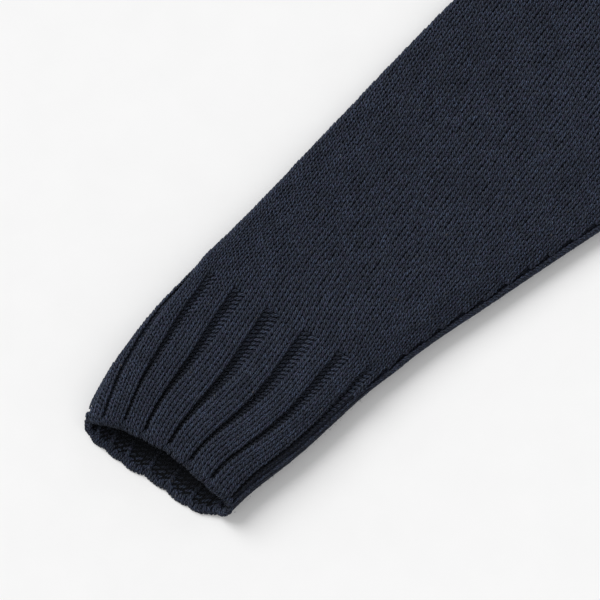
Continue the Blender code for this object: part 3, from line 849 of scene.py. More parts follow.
def purl_bars(placed, rise, seed, shape):
    """One bar across each purl stitch, rising to the right over the stitch below."""
    centre, across, up, out, shade = placed
    draw = np.random.default_rng(seed)
    slope = BAR_END[1] + draw.normal(0.0, BAR_SPREAD[0], (len(centre), 1))
    reach = across * BAR_END[0] + up * slope
    width = np.linalg.norm(up, axis=1) * BAR_WIDTH
    height = rise * (1.0 + draw.normal(0.0, BAR_SPREAD[1], len(centre)))
    return [leg_mesh(centre - reach, centre + reach, out, width, height, shade, shape, seed + 3)]


def chain_frame(path, out, step):
    """The same five for link stitches set evenly along a path, one step apart."""
    length = path_lengths(path)
    marks = (np.arange(int(length[-1] / step)) + 0.5) * step
    centre = read_path(marks, length, path)
    ahead = unit(read_path(marks, length, np.gradient(path, axis=0)))
    out = unit(np.broadcast_to(out, centre.shape))
    across = unit(np.cross(ahead, out)) * LINK_WIDTH
    return centre, across, ahead * step, out, np.ones(len(marks))


def nap_fibres(surface, wales, courses, many, seed):
    """Loose fibres of the wool's nap: thin spindles 1.2 to 3.6 mm long, laid every way on a
    surface between wales and courses. A fibre is 0.03 mm thick, too fine to show, so each
    stands for a few and is 0.1 mm thick."""
    draw = np.random.default_rng(seed)
    height = bpy.context.scene.sweater_knit.course
    number = draw.uniform(*courses, many)
    placed = stitch_frame(surface, draw.uniform(*wales, many), number, height)
    showing = (placed[0][:, 2] > 0.006) & (placed[3][:, 2] > 0.3)
    centre, across, up, out, _ = (part[showing] for part in placed)
    many = len(centre)
    angle = draw.uniform(0.0, 2 * math.pi, (many, 1))
    way = unit(across) * np.cos(angle) + unit(up) * np.sin(angle)
    reach = way * draw.uniform(0.0006, 0.0018, (many, 1))
    middle = centre + out * draw.uniform(0.0003, 0.0010, (many, 1))
    tip = out * draw.uniform(-0.0002, 0.0006, (many, 1))
    bend = draw.uniform(0.0002, 0.0006, many)
    shade = draw.uniform(0.9, 1.9, many)
    return leg_mesh(middle - reach, middle + reach + tip, out, np.full(many, 0.00005), bend,
                    shade, "fibre", seed + 1)


def yarn_piece(name, parts, mirrored=False):
    """Joins lengths of yarn into one piece, turned over for the right-hand side."""
    sizes = np.cumsum([0] + [len(part[0]) for part in parts])
    faces = np.concatenate([part[1] + start for part, start in zip(parts, sizes)])
    points, tints_and_painted_shades, yarn = (np.concatenate([part[place] for part in parts]) for place in (0, 2, 3))
    points[:, 2] = np.maximum(points[:, 2], FLOOR_GAP)
    if mirrored:
        points = points * (-1, 1, 1)
        faces = faces[:, ::-1]
    return new_piece(name, points, faces, tints_and_painted_shades, yarn, "yarn", "spun_wool_stitches")


# Colours and materials

def linear(code):
    """Linear colour of an sRGB hex code."""
    value = np.array([int(code[place:place + 2], 16) / 255 for place in (1, 3, 5)])
    value = np.where(value <= 0.04045, value / 12.92, ((value + 0.055) / 1.055) ** 2.4)
    return (*value, 1.0)


def node(tree, kind, inputs=(), **settings):
    """Add a node, set its properties, and give each input named or numbered a value or a link."""
    made = tree.nodes.new(kind)
    for key, value in settings.items():
        setattr(made, key, value)
    for place, value in dict(inputs).items():
        if isinstance(value, bpy.types.NodeSocket):
            tree.links.new(value, made.inputs[place])
        else:
            made.inputs[place].default_value = value
    return made


def knit_height(tree):
    """Height of plain knit over a map in wales and courses: a leg each side of every wale's
    middle line, rounded across, cut into slanting bands one course high. Its sines run from 0
    to 1 over each leg's width and each band."""
    map_place = node(tree, "ShaderNodeUVMap", uv_map="knit").outputs[0]
    parts = node(tree, "ShaderNodeSeparateXYZ", {0: map_place}).outputs
    aside = node(tree, "ShaderNodeMath", {0: parts[0], 1: 0.5}, operation="PINGPONG").outputs[0]
    slant = node(tree, "ShaderNodeMath", {0: aside, 1: 1.5, 2: parts[1]}, operation="MULTIPLY_ADD")
    waves = []
    for value, steps in (
            (aside, (("MULTIPLY", 2 * math.pi), ("SINE", 0.0))),
            (slant.outputs[0], (("MULTIPLY", math.pi), ("SINE", 0.0), ("ABSOLUTE", 0.0),
                                ("POWER", 0.5)))):
        for operation, second in steps:
            value = node(tree, "ShaderNodeMath", {0: value, 1: second},
                         operation=operation).outputs[0]
        waves.append(value)
    return node(tree, "ShaderNodeMath", dict(enumerate(waves)), operation="MULTIPLY").outputs[0]


def ply_height(tree):
    """Height of the yarn's twisted plies over a map across and along the yarn: rounded strands
    one ply wide that lean to the left of the yarn's own line. A band of the wave is 2 pi / 20
    of its vector wide, so its scale is that over the ply's width."""
    map_place = node(tree, "ShaderNodeUVMap", uv_map="yarn").outputs[0]
    turned = node(tree, "ShaderNodeMapping", {0: map_place, "Rotation": (0.0, 0.0, -PLY_LEAN)})
    strands = node(tree, "ShaderNodeTexWave", {
        0: turned.outputs[0], "Scale": 2 * math.pi / 20 / PLY_WIDTH, "Distortion": 0.8,
        "Detail": 1.0, "Detail Scale": 1.5})
    return strands.outputs["Fac"]


def new_material(name):
    """A material with nodes: its tree and its shader."""
    material = bpy.data.materials.new(name)
    material.use_nodes = True
    return material.node_tree, material.node_tree.nodes["Principled BSDF"]


def spun_wool(name, pattern, depth, gap, sheen):
    """Melange wool yarn, carded, spun soft and knitted: matt navy with paler, darker and a few
    warm fibres through it, a soft sheen from its nap and no gloss. The pattern gives the height
    of its plies or stitches, as deep as given, and gap the light left in their creases. The
    sheen is weaker on the cloth behind the stitches, where little light falls."""
    tree, shader = new_material(name)
    knit = bpy.context.scene.sweater_knit
    place = node(tree, "ShaderNodeTexCoord").outputs["Object"]
    # A wool fibre is 0.03 mm thick, too fine to show, so clumps of fibres 0.6 mm wide are drawn,
    # hues 1.4 mm wide, grey ones and rare warm flecks 2.4 mm wide, and uneven dye 17 mm wide.
    fibre, hue, fleck, cloud = [
        node(tree, "ShaderNodeTexNoise", {0: place, 2: 1 / size, 3: detail, 4: rough}).outputs[0]
        for size, detail, rough in ((0.0006, 3.0, 0.7), (0.0014, 1.0, 0.5), (0.0024, 1.0, 0.5),
                                    (0.017, 3.0, 0.55))]
    colour = linear(knit.dark_fibre)
    for noise, low, high, most, added in (
            # a noise, the band of it that the colour grows over, how much of it comes in
            (fibre, 0.36, 0.66, 1.0, knit.pale_fibre), (hue, 0.44, 0.62, 0.75, knit.plum_fibre),
            (fleck, 0.44, 0.62, 0.55, knit.grey_fibre), (fleck, 0.765, 0.80, 0.5, knit.warm_fibre)):
        amount = node(tree, "ShaderNodeMapRange", {0: noise, 1: low, 2: high, 4: most}).outputs[0]
        colour = node(tree, "ShaderNodeMix", {0: amount, 6: colour, 7: linear(added)},
                      data_type="RGBA").outputs[2]
    patch = node(tree, "ShaderNodeMapRange", {0: cloud, 1: 0.3, 2: 0.7, 3: 0.86, 4: 1.14})
    # Each point's attribute holds a random tint times painted shade.
    tint_and_painted_shade = node(tree, "ShaderNodeAttribute", attribute_name="tint_and_painted_shade").outputs["Fac"]
    height = pattern(tree)
    # Painted shade in the creases of the plies or stitches, down to gap, and painted light on their
    # tops.
    painted_relief_shading = node(tree, "ShaderNodeMapRange", {0: height, 1: 0.1, 2: 0.8, 3: gap, 4: 1.35})
    shade = patch.outputs[0]
    for factor in (tint_and_painted_shade, painted_relief_shading.outputs[0]):
        shade = node(tree, "ShaderNodeMath", {0: shade, 1: factor}, operation="MULTIPLY").outputs[0]
    colour = node(tree, "ShaderNodeVectorMath", {0: colour, 3: shade}, operation="SCALE").outputs[0]
    relief = node(tree, "ShaderNodeBump", {"Distance": depth, "Height": height}).outputs[0]
    nap = node(tree, "ShaderNodeBump", {
        "Strength": 0.7, "Distance": 0.0005, "Height": fibre, "Normal": relief}).outputs[0]
    tree.links.new(colour, shader.inputs["Base Color"])
    tree.links.new(nap, shader.inputs["Normal"])
    for socket, value in (("Roughness", 0.92), ("Specular IOR Level", 0.15),
                          ("Sheen Weight", sheen), ("Sheen Roughness", 0.55),
                          ("Sheen Tint", linear("#8891a6"))):
        shader.inputs[socket].default_value = value


def studio_floor():
    """Smooth matt white board, coated paper with a faint cloudiness 25 mm wide."""
    tree, shader = new_material("matt_white_board")
    place = node(tree, "ShaderNodeTexCoord").outputs["Object"]
    grain = node(tree, "ShaderNodeTexNoise", {0: place, 2: 1 / 0.025}).outputs[0]
    board = node(tree, "ShaderNodeMix", {0: grain, 6: linear("#f4f4f4"), 7: linear("#f8f8f8")},
                 data_type="RGBA").outputs[2]
    tree.links.new(board, shader.inputs["Base Color"])
    shader.inputs["Roughness"].default_value = 0.9


# Settings

class KnitSettings(bpy.types.PropertyGroup):
    """Sizes and colours of the knit."""

    course: bpy.props.FloatProperty(
        name="Course", description="Height of one row of stitches", default=COURSE,
        min=0.0015, max=0.006, unit="LENGTH")
    rise: bpy.props.FloatProperty(
        name="Yarn rise", description="How far a stitch stands off the cloth behind it",
        default=0.00070, min=0.0002, max=0.002, unit="LENGTH")


for part, colour in (("dark", "#14161c"), ("pale", "#46536b"), ("plum", "#312d40"),
                     ("grey", "#31373f"), ("warm", "#665c56")):
    KnitSettings.__annotations__[part + "_fibre"] = bpy.props.StringProperty(
        name=part.capitalize() + " fibre", default=colour,
        description="Colour of the " + part + " fibres, as an sRGB hex code")


class StageSettings(bpy.types.PropertyGroup):
    """Camera and light."""

    frame_width: bpy.props.FloatProperty(
        name="Frame width", description="Width of cloth that the picture takes in",
        default=0.312, min=0.1, max=3.0, unit="LENGTH")
    lens: bpy.props.FloatProperty(
        name="Lens", description="Focal length of the camera", default=85.0, min=20.0, max=300.0)
    key_strength: bpy.props.FloatProperty(
        name="Key light", description="Strength of the large soft light", default=2.3,
        min=0.0, max=20.0)
    key_spread: bpy.props.FloatProperty(
        name="Key spread", description="Width of the soft light as the cloth sees it",
        default=math.radians(33), min=0.0, max=math.pi, unit="ROTATION")


# Sleeves

def cuff_scallop(inside, course, under):
    """How far a rib's end stands out past the grooves at the mouth, as an arc from groove to
    groove, less on the upper edge."""
    depth = np.where(under, CUFF_SCALLOPS[1], CUFF_SCALLOPS[0])
    arc = np.abs(np.sin(math.pi * inside / WALES_A_RIB)) ** 0.7
    return 2.0 * depth * (arc - 0.7) * (1 - smooth_step(course / SCALLOP_FADE))


def sleeve_knit_surface(wale, course):
    """The sleeve's outer face at a wale and a course line, with the cuff's ribs raised."""
    place = sleeve_place(wale, course)
    inside = np.mod(wale, WALES_A_RIB)
    relief = rib_lift(inside, course, CUFF_RIB_END, *RIB_LIFTS) + seam_lift(place, course)
    scallop = cuff_scallop(inside, course, False)
    return lifted(sleeve_base, place, course - scallop, relief)


def inner_base(place, course):
    """The inner face of the sleeve."""
    return sleeve_base(place, course, WALL)


def inner_knit_surface(wale, course):
    """The inner face of the cuff's lower layer, seen in the mouth: its ribs stand up where the
    outer face has grooves. Wales are counted on the top and lie mirrored below it."""
    inside = np.mod(wale, WALES_A_RIB)
    moved = course - cuff_scallop(inside, course, True)
    sunk = 0.0012 * rib_shape(inside) - 0.0007
    return lifted(inner_base, 2 - sleeve_place(wale, course), moved, sunk)


def rim_surface(turned, course):
    """The rounded lip of the mouth: half a circle from the outer face at course 0 back to the
    inner face at minus the lip's length. It is counted in wales round the mouth from the fold,
    those of the upper edge and then those of the lower one."""
    turned = np.mod(turned, 2 * MOUTH_WALES)
    under = turned > MOUTH_WALES
    wale = np.where(under, 2 * MOUTH_WALES - turned, turned) - GROOVE_START * WALES_A_RIB
    place = sleeve_place(wale, 0.0)
    place = np.where(under, 2 - place, place)
    start = -cuff_scallop(np.mod(wale, WALES_A_RIB), 0.0, under)
    outer = sleeve_base(place, start)
    inner = sleeve_base(place, start, WALL)
    ahead = unit(outer - sleeve_base(place, start + 0.004))
    half = (outer - inner) / 2
    size = np.linalg.norm(half, axis=-1, keepdims=True)
    angle = (-np.asarray(course) / RIM_LENGTH * math.pi)[..., None]
    return (outer + inner) / 2 + half * np.cos(angle) + ahead * size * np.sin(angle)


def sleeve_seam_surface(row, course):
    """The ridge outside the underarm seam: rows of stitches in from the sleeve's seamed edge."""
    place = 1 - row * SEAM_ROW / course_length(course)
    return lifted(sleeve_base, place, course - cuff_scallop(2.5, course, False), 0 * row - 0.0002)


def in_sleeve(points, margin):
    """True where a point lies on the sleeve's side of the armhole by a margin."""
    height = points[..., 1] - HEM_Y
    return -points[..., 0] > armhole_x(height) + margin


def sleeve_bow(share):
    """How far the armhole bows off the straight line between its ends."""
    curve = armhole_point(np.linspace(0.0, 1.0, 81)) * (-1, 1)
    tip = curve[-1]
    chord = curve[0] - tip
    place = (curve - tip) @ chord / (chord @ chord)
    bow = curve - tip - place[:, None] * chord
    order = np.argsort(place)
    return read_path(share, place[order], bow[order])


def sleeve_skin(number, place, inset):
    """The sleeve's cloth at section numbers and shares round it: 0 to 1 is the top, from fold
    to seam, and 1 to 2 is the underside, back to the fold. Gives points, courses and shares
    folded to the top."""
    under = place > 1
    folded = np.where(under, 2 - place, place)
    fold_along, seam_along = by_section(number, 0), by_section(number, 1)
    left, right = fold_aside(fold_along), through(SEAM_EDGE, seam_along)
    course = (fold_along + seam_along) / 2 - TILT * (left + right) / 2
    height, share, aside, along, rise = section_line(
        folded, under, number, (fold_along, left, seam_along, right), course, inset)
    course = along - through(COURSE_TILTS, along) * aside
    points = section_points(number, under, share, aside, along, height / 2, rise, course)
    near = smooth_step(fold_along, BOW_START, FOLD_EDGE[-1][0] - BOW_START)
    points[..., :2] += near[..., None] * sleeve_bow(share)
    return points, course, folded


def sleeve_cloth(name, mirrored):
    """The sleeve's cloth behind its stitches: a closed thin wall, ribbed at the cuff, with a
    rounded lip at the mouth, ending one seam gap from the body. The ribs are drawn on both
    faces, raised on the outer one and sunk on the inner one."""
    columns = 168 if mirrored else 336
    rows = np.concatenate((np.linspace(0, 6.6, 40), np.linspace(6.8, 15, 46)))
    number, around = np.meshgrid(rows, np.arange(columns) / columns * 2, indexing="ij")
    outer, course, folded = sleeve_skin(number, around, 0.0)
    inside = inside_rib(cuff_ribs(folded, course), through(CUFF_GROOVES, course), GROOVE_START)
    relief = rib_lift(inside, course, CUFF_RIB_END, *RIB_LIFTS)
    off_floor = smooth_step((outer[..., 2] - 0.0003) / 0.004)
    lift = relief * off_floor - UNDER_YARN * off_floor
    lift += np.where(around <= 1, seam_lift(folded, course), 0.0)
    outer = outer + ring_normals(outer) * lift[..., None]
    outer[..., 2] = np.maximum(outer[..., 2], FLOOR_GAP)
    forward = unit(to_floor(np.zeros(1), np.full(1, -1.0), np.zeros(1))
                   - to_floor(np.zeros(1), np.zeros(1), np.zeros(1)))
    outer = outer + forward * cuff_scallop(inside, course, around > 1)[..., None]
    outer_course = course
    kept = np.unique(np.concatenate((np.arange(0, 24), np.arange(24, len(rows), 3),
                                     [len(rows) - 1])))
    number, around = number[kept], around[kept]
    inner, course, folded = sleeve_skin(number, around, WALL)
    inside = inside_rib(cuff_ribs(folded, course), through(CUFF_GROOVES, course), GROOVE_START)
    lift = rib_lift(inside, course, CUFF_RIB_END, *INNER_LIFTS) - 0.0002
    inner = inner + ring_normals(inner) * lift[..., None]
    inner = inner + forward * cuff_scallop(inside, course, around > 1)[..., None]
    first, last = inner[0], outer[0]
    half = (last - first) / 2
    size = np.linalg.norm(half, axis=-1, keepdims=True)
    lip = [(first + last) / 2 - half * math.cos(angle) + forward * size * math.sin(angle)
           for angle in np.linspace(0, math.pi, 5)[1:-1]]
    rings = np.concatenate((inner[::-1], np.array(lip), outer), axis=0)
    if mirrored:
        rings = rings * (-1, 1, 1)
    faces = tube_faces(len(rings), columns, mirrored)
    course = np.concatenate((course[::-1], np.repeat(course[:1], len(lip), axis=0), outer_course))
    wale = folded[:1] * wale_count(course)
    coordinates = np.stack((wale, course / bpy.context.scene.sweater_knit.course), axis=-1)
    coordinates = coordinates.reshape(-1, 2)
    shade = np.ones(rings.shape[:2])
    # Painted shade on the top's cloth behind its stitches.
    shade[:, around[0] < 1] = SHADE_BEHIND_STITCHES
    # The inner skin is painted nearly black: painted shade inside the sleeve.
    shade[:len(inner)] = MOUTH_SHADES[1]
    return cloth_piece(name, rings, faces, shade, coordinates)


def sleeve_lattice(courses):
    """Wales and courses of the stitches on a sleeve's top, from the fold to the seam's groove
    and short of the armhole."""
    height = bpy.context.scene.sweater_knit.course
    wale, number, course = lattice((-12, 100), courses, height)
    place = sleeve_place(wale, course)
    inward = (1 - place) * course_length(course)
    keep = (place > np.where(course < 0.006, 0.006, -0.05)) & (inward > SEAM_GROOVE[0] + 0.0014)
    wale, number, course = wale[keep], number[keep], course[keep]
    middle = sleeve_knit_surface(wale, course)
    keep = in_sleeve(middle, ARMHOLE_GAP) & (middle[:, 2] > 0.0020)
    return wale[keep], number[keep]


class SWEATER_OT_sleeves(bpy.types.Operator):
    """Knit the two sleeves with their cuffs"""

    bl_idname = "sweater.sleeves"
    bl_label = "Sleeves"

    def execute(self, context):
        course = context.scene.sweater_knit.course
        for name, mirrored in (("sleeve_left", False), ("sleeve_right", True)):
            cloth = sleeve_cloth(name, mirrored)
            shape = "plain" if mirrored else "full"
            for part, courses, seed in (("_cuff_stitches", (0, 41), 11),
                                        ("_stitches", (41, 130), 21),
                                        ("_upper_stitches", (130, 250), 26)):
                wale, number = sleeve_lattice(courses)
                high = number * course
                purled = (high < CUFF_RIB_END) & purl_wales(wale)
                # Painted shade: purl grooves are painted dark where they close towards the mouth,
                # less near the fold, with a painted shadow beside each rib's steep side.
                closed = 1 - smooth_step(high, *GROOVE_OPENS)
                closed *= smooth_step(sleeve_place(wale, high) / 0.25)
                shade = np.where(purled, GROOVE_SHADE ** closed, 1.0)
                beside = purled & (np.mod(wale, WALES_A_RIB) > WALES_A_RIB - 1)
                shade = np.where(beside, shade * SIDE_SHADE, shade)
                stitch_piece(name + part, sleeve_knit_surface, wale, number,
                                           purled, shape, seed, mirrored, shade)
            wale, number, high = lattice((-5, MOUTH_WALES - 4), (0, 11), course)
            place = sleeve_place(wale, high)
            keep = (place > 0.006) & (place < 0.985)
            wale, number, high, place = (part[keep] for part in (wale, number, high, place))
            # Painted shade on the inner stitches seen in the mouth: lit near the lip and the fold,
            # darker deeper in.
            deep = np.minimum(high, 0.35 * high + place * course_length(high))
            lit = (1 - smooth_step(deep, *MOUTH_LIGHT)) ** 1.4
            shade = MOUTH_SHADES[1] + (MOUTH_SHADES[0] - MOUTH_SHADES[1]) * lit
            stitch_piece(name + "_inner_stitches", inner_knit_surface, wale, number,
                                       ~purl_wales(wale), shape, 51, mirrored, shade)
            row, number, high = lattice((0, 2), (0, 168), course)
            keep = in_sleeve(sleeve_seam_surface(row, high), ARMHOLE_GAP)
            stitch_piece(name + "_seam_stitches", sleeve_seam_surface, row[keep],
                                       number[keep], np.zeros(keep.sum(), bool), shape, 56,
                                       mirrored, SEAM_SHADE)
            rim_piece(name + "_rim", mirrored)
            if not mirrored:
                nap = nap_fibres(sleeve_knit_surface, (-1, 44), (0, 132), 7000, 81)
                yarn_piece(name + "_nap", [nap])
        return {"FINISHED"}


def rim_piece(name, mirrored):
    """The cast-on edge of the cuff: knit stitches carried round the lip in three rows."""
    settings = bpy.context.scene.sweater_knit
    parts = []
    wale = np.arange(2 * MOUTH_WALES) + 0.5
    for row, (turn, above, below) in enumerate(RIM_ROWS):
        number = np.full(len(wale), -turn * RIM_LENGTH / settings.course)
        placed = stitch_frame(rim_surface, wale, number, settings.course)
        # Painted shade on each row of the rim, by how it faces the light.
        placed[4][:] = np.where(wale < MOUTH_WALES, above, below)
        parts += knit_legs(placed, settings.rise * LOW_RISE, 61 + 3 * row,
                           "plain" if mirrored else "full")
    return yarn_piece(name, parts, mirrored)


def lattice(wales, courses, height):
    """Every wale and course of a piece, as two flat arrays: wale and distance."""
    wale, number = np.meshgrid(np.arange(*wales) + 0.5, np.arange(*courses) + 0.5)
    return wale.ravel(), number.ravel(), number.ravel() * height


def stitch_piece(name, surface, wale, number, purled, shape, seed, mirrored=False, shade=1.0):
    """Joins the stitches of a lattice on a surface into one mesh: legs on the knit stitches and
    bars on the purl ones."""
    settings = bpy.context.scene.sweater_knit
    placed = stitch_frame(surface, wale, number, settings.course)
    placed[4][:] = shade
    parts = []
    if not purled.all():
        parts += knit_legs([part[~purled] for part in placed], settings.rise, seed, shape)
    if purled.any():
        bars = [part[purled] for part in placed]
        parts += purl_bars(bars, settings.rise * LOW_RISE, seed + 5, shape)
    return yarn_piece(name, parts, mirrored)


def panel_cloth(name, upward, neck):
    """Front or back cloth: an outer and an inner skin of rows, joined round the whole edge. The
    outer skin of the front lies a yarn's depth under its stitches and follows the hem's ribs."""
    front = upward > 0
    below = np.concatenate((np.linspace(0, 0.25, 14), np.linspace(0.28, 1, 14)))
    up = np.concatenate((below, np.linspace(1, 2, 49)[1:]))
    count = HEM_RIBS * 8 + 1
    across = np.linspace(-1, 1, count)
    up, across = np.meshgrid(up, across, indexing="ij")
    x, y = panel_plan(up, across, neck, False)
    if front:
        place = across / 2 + 0.5
        inside = inside_rib(place * HEM_RIBS, through(HEM_GROOVES, y), 0.5)
        scallop, relief = hem_shape(inside, y)
        x = np.where(y < HEM_GROOVES[-1][0], front_base(place, y - scallop)[..., 0], x)
        sunk = np.clip(edge_distance(x, y) / 0.004, 0, 1)
        z = layer_height(x, y, 1, False) + (relief - UNDER_YARN) * sunk
        y = y - scallop
    else:
        z = layer_height(x, y, -1, False)
    outer = from_hem(x, y, np.maximum(z, 0.0))
    x, y = panel_plan(up, across, neck, True)
    inner = from_hem(x, y, layer_height(x, y, upward, True))
    rows = outer.shape[0]
    points = np.concatenate((outer.reshape(-1, 3), inner.reshape(-1, 3)))
    many = rows * count
    skins = [grid_faces(rows, count, 0, flip=not front),
             grid_faces(rows, count, many, flip=front)]
    here = np.arange(many).reshape(rows, count)
    rim = np.concatenate((here[0, :-1], here[:-1, -1], here[-1, :0:-1], here[:0:-1, 0]))
    beside = np.roll(rim, -1)
    edge = np.stack((rim, rim + many, beside + many, beside), axis=-1)
    faces = np.concatenate((*skins, edge if front else edge[:, ::-1]))
    knit = np.stack((points[:, 0] / PANEL_WALE, (points[:, 1] - HEM_Y) / COURSE), axis=-1)
    shade = np.ones(len(points))
    if front:
        # Painted shade on the front's cloth behind its stitches.
        shade[:many] = SHADE_BEHIND_STITCHES
    return cloth_piece(name, points, faces, shade, knit)


class SWEATER_OT_front(bpy.types.Operator):
    """Knit the front with its ribbed hem"""

    bl_idname = "sweater.front"
    bl_label = "Front"

    def execute(self, context):
        height = context.scene.sweater_knit.course
        cloth = panel_cloth("front", 1, FRONT_NECK)
        first = round(-WALES_A_RIB / 2 - 1)
        for name, courses in (("front_hem_stitches", (0, 100)), ("front_stitches", (100, 260))):
            last = first + WALES_A_RIB * HEM_RIBS + 2
            wale, number, high = lattice((first, last), courses, height)
            middle = front_knit_surface(wale, high)
            x, y = middle[:, 0], middle[:, 1] - HEM_Y
            place = rib_places(wale, through(HEM_GROOVES, high), 0.5) / HEM_RIBS
            keep = (place > 0) & (place < 1) & (y < top_edge(x, FRONT_NECK) - PANEL_GAP)
            keep &= (y < UNDERARM[1]) | (np.abs(x) < armhole_x(y) - PANEL_GAP)
            wale, number, high = wale[keep], number[keep], high[keep]
            purled = (high < HEM_RIB_END) & purl_wales(wale)
            # Painted shade on the purl grooves of the hem.
            stitch_piece(name, front_knit_surface, wale, number, purled, "plain", 31,
                                       shade=np.where(purled, PURL_SHADE, 1.0))
        for name, mirrored in (("body_left_linking", False), ("body_right_linking", True)):
            link_piece(name, body_paths(), 71, mirrored)
        return {"FINISHED"}


class SWEATER_OT_back(bpy.types.Operator):
    """Knit the back"""

    bl_idname = "sweater.back"
    bl_label = "Back"

    def execute(self, context):
        height = context.scene.sweater_knit.course
        cloth = panel_cloth("back", -1, BACK_NECK)
        wale, number, high = lattice((-24, 24), (222, 252), height)
        x = wale * WALE_WIDTH
        keep = high > top_edge(x, FRONT_NECK) + 0.004
        keep &= high < top_edge(x, BACK_NECK) - PANEL_GAP
        keep &= np.abs(x) < NECK_POINT[0] - 0.006
        stitches = stitch_piece("back_inner_stitches", back_inner_surface, wale[keep],
                                number[keep], np.ones(keep.sum(), bool), "full", 36)
        return {"FINISHED"}


def neck_path():
    """The line where the neckband is picked up, on the face that shows, and its way out."""
    line, _, places = band_line()
    behind = smooth_step((places - 1) / 0.03) * smooth_step((2 - places) / 0.03)
    line = line + np.stack((0 * behind, HEM_Y + 0 * behind, WALL * behind), axis=-1)
    return line, np.array((0.0, 0.0, 1.0))


def body_paths():
    """The lines of the body's linked seams on the left half, each with its way out: up the side,
    round the armhole and along the shoulder."""
    height = np.linspace(0.002, UNDERARM[1] - 0.004, 120)
    half = through(BODY_SIDES, height) - RIB_RELIEF * rib_fade(height, HEM_RIB_END)
    side = from_hem(-half, height, 0 * height + BODY_HEIGHT / 2)
    curve = armhole_point(np.linspace(0.02, 0.99, 120))
    top = layer_height(curve[:, 0], curve[:, 1], 1, False) - 0.0004
    armhole = from_hem(-curve[:, 0], curve[:, 1], top)
    x = np.linspace(SHOULDER_TIP[0] - 0.002, NECK_POINT[0] + 0.003, 60)
    shoulder = from_hem(-x, shoulder_height(x), 0 * x + BODY_HEIGHT / 2)
    slope = np.array((SHOULDER_TIP[1] - NECK_POINT[1], SHOULDER_TIP[0] - NECK_POINT[0], 0.0))
    return ((side, np.array((-1.0, 0.0, 0.0))), (armhole, np.array((0.0, 0.0, 1.0))),
            (shoulder, slope))


def link_piece(name, paths, seed, mirrored=False):
    """Chains of link stitches along paths, each with its way out, joined into one piece."""
    settings = bpy.context.scene.sweater_knit
    parts = []
    for place, (path, out) in enumerate(paths):
        placed = chain_frame(path, out, settings.course)
        parts += knit_legs(placed, settings.rise * LOW_RISE, seed + 10 * place, "full")
    return yarn_piece(name, parts, mirrored)


class SWEATER_OT_neckband(bpy.types.Operator):
    """Knit the neckband"""

    bl_idname = "sweater.neckband"
    bl_label = "Neckband"

    def execute(self, context):
        height = context.scene.sweater_knit.course
        around = np.arange(WALES_A_RIB * sum(BAND_RIBS) * 2) / 2
        out = np.array((0.0, 0.0015, 0.004, 0.010, 0.018, 0.024, 0.027, BAND_WIDTH))
        wale, course = np.meshgrid(around, out)
        base = band_base(band_place(wale), course)
        normal = lifted(band_base, band_place(wale), course, np.ones_like(wale)) - base
        facing_up = smooth_step(normal[..., 2:] / 2 + 0.5)
        relief = band_relief(np.mod(wale, WALES_A_RIB), course)[..., None] - 0.0008
        outer = base + normal * relief * facing_up
        inner = base - normal * (WALL + relief * (1 - facing_up))
        points = np.concatenate((outer, inner[::-1]))
        points[..., 2] = np.maximum(points[..., 2], 0.0)
        faces = tube_faces(len(points), len(around))
        knit = np.stack((np.tile(around, len(points)),
                         np.repeat(np.concatenate((out, out[::-1])), len(around)) / COURSE), -1)
        # Painted shade on the neckband's cloth behind its stitches.
        shade = np.full(len(knit), SHADE_BEHIND_STITCHES)
        cloth = cloth_piece("neckband", points, faces, shade, knit)
        for name, surface, ribs, seed in (
                ("neckband_stitches", band_knit_surface, BAND_RIBS[0], 41),
                ("neckband_inner_stitches", band_inner_surface, BAND_RIBS[1], 44)):
            wale, number, _ = lattice((-2, WALES_A_RIB * ribs - 3), (0, 10), height)
            purled = purl_wales(wale)
            # Painted shade on the neckband's purl grooves.
            stitch_piece(name, surface, wale, number, purled, "plain", seed,
                                       shade=np.where(purled, PURL_SHADE, 1.0))
        link_piece("neckband_linking", [neck_path()], 47)
        return {"FINISHED"}


class SWEATER_OT_materials(bpy.types.Operator):
    """Make the wool and the board"""

    bl_idname = "sweater.materials"
    bl_label = "Materials"

    def execute(self, context):
        spun_wool("spun_wool_stitches", ply_height, 0.0006, 0.30, 0.25)
        spun_wool("spun_wool_cloth", knit_height, 0.0011, 0.25, 0.12)
        studio_floor()
        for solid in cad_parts.values():
            solid.data.materials.clear()
            solid.data.materials.append(bpy.data.materials["spun_wool_cloth"])
        return {"FINISHED"}


# Stage

# The board's width, the light from all round, where the soft light stands, the camera's sensor
# in mm, and the middle of the picture counted from the middle of the mouth.
BOARD = 6.0
FILL_LIGHT = 0.55
KEY_PLACE = (-0.9, 1.3, 1.3)
SENSOR = 36.0
PICTURE_MIDDLE = (0.0728, 0.0884, 0.012)


def stage_object(name, data, location):
    """Put the board, the light or the camera in the scene."""
    made = bpy.data.objects.new(name, data)
    made.location = location
    bpy.context.scene.collection.objects.link(made)
    return made


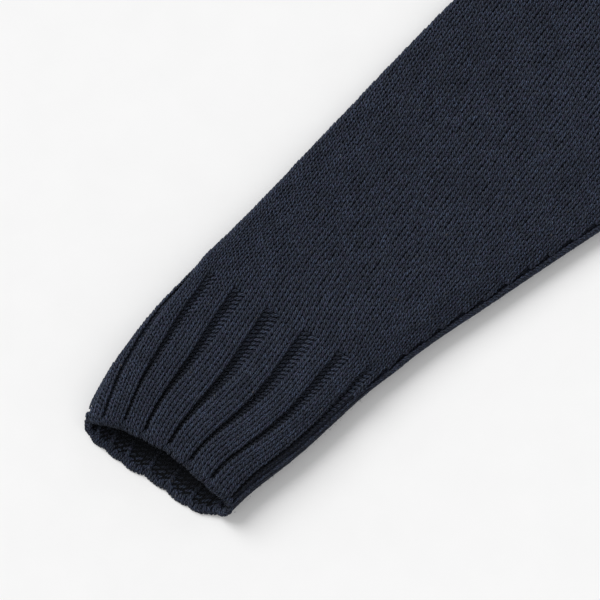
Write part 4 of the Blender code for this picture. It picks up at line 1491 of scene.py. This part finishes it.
class SWEATER_OT_stage(bpy.types.Operator):
    """Set the board, the light and the camera"""

    bl_idname = "sweater.stage"
    bl_label = "Stage"

    def execute(self, context):
        settings = context.scene.sweater_stage
        board = bpy.data.meshes.new("studio_floor")
        side = BOARD / 2
        board.from_pydata([(-side, -side, 0), (side, -side, 0), (side, side, 0), (-side, side, 0)],
                          [], [(0, 1, 2, 3)])
        board.materials.append(bpy.data.materials["matt_white_board"])
        stage_object("studio_floor", board, (0, 0, -0.0002))
        world = context.scene.world = bpy.data.worlds.new("studio")
        world.use_nodes = True
        background = world.node_tree.nodes["Background"]
        background.inputs[0].default_value = (1.0, 1.0, 1.0, 1.0)
        background.inputs[1].default_value = FILL_LIGHT
        light = bpy.data.lights.new("key", "SUN")
        light.angle = settings.key_spread
        light.energy = settings.key_strength
        key = stage_object("key", light, KEY_PLACE)
        key.rotation_euler = (-key.location).to_track_quat("-Z", "Y").to_euler()
        camera = bpy.data.cameras.new("camera")
        camera.lens = settings.lens
        camera.sensor_width = SENSOR
        camera.clip_start = 0.05
        above = settings.frame_width / SENSOR * settings.lens
        x, y, z = PICTURE_MIDDLE
        place = (MOUTH_CENTRE[0] + x, MOUTH_CENTRE[1] + HEM_Y + y, z + above)
        context.scene.camera = stage_object("camera", camera, place)
        context.scene.view_settings.view_transform = "Standard"
        return {"FINISHED"}


class SWEATER_PT_panel(bpy.types.Panel):
    """Lists the sweater's sizes, colours and pieces"""

    bl_idname = "SWEATER_PT_panel"
    bl_label = "Wool sweater"
    bl_space_type = "VIEW_3D"
    bl_region_type = "UI"
    bl_category = "Sweater"

    def draw(self, context):
        for settings in (context.scene.sweater_knit, context.scene.sweater_stage):
            for name in settings.__annotations__:
                self.layout.prop(settings, name)
        for operator in OPERATORS:
            self.layout.operator(operator.bl_idname)


OPERATORS = (
    SWEATER_OT_materials,
    SWEATER_OT_back,
    SWEATER_OT_front,
    SWEATER_OT_neckband,
    SWEATER_OT_sleeves,
    SWEATER_OT_stage,
)
CLASSES = (KnitSettings, StageSettings, *OPERATORS, SWEATER_PT_panel)


def register():
    """Register the classes and their settings."""
    for made in CLASSES:
        bpy.utils.register_class(made)
    bpy.types.Scene.sweater_knit = bpy.props.PointerProperty(type=KnitSettings)
    bpy.types.Scene.sweater_stage = bpy.props.PointerProperty(type=StageSettings)


def unregister():
    """Take the classes and their settings away again."""
    del bpy.types.Scene.sweater_stage
    del bpy.types.Scene.sweater_knit
    for made in reversed(CLASSES):
        bpy.utils.unregister_class(made)


def main():
    """Make every piece in order."""
    register()
    for operator in OPERATORS:
        group, name = operator.bl_idname.split(".")
        getattr(getattr(bpy.ops, group), name)()


if __name__ == "__main__":
    main()
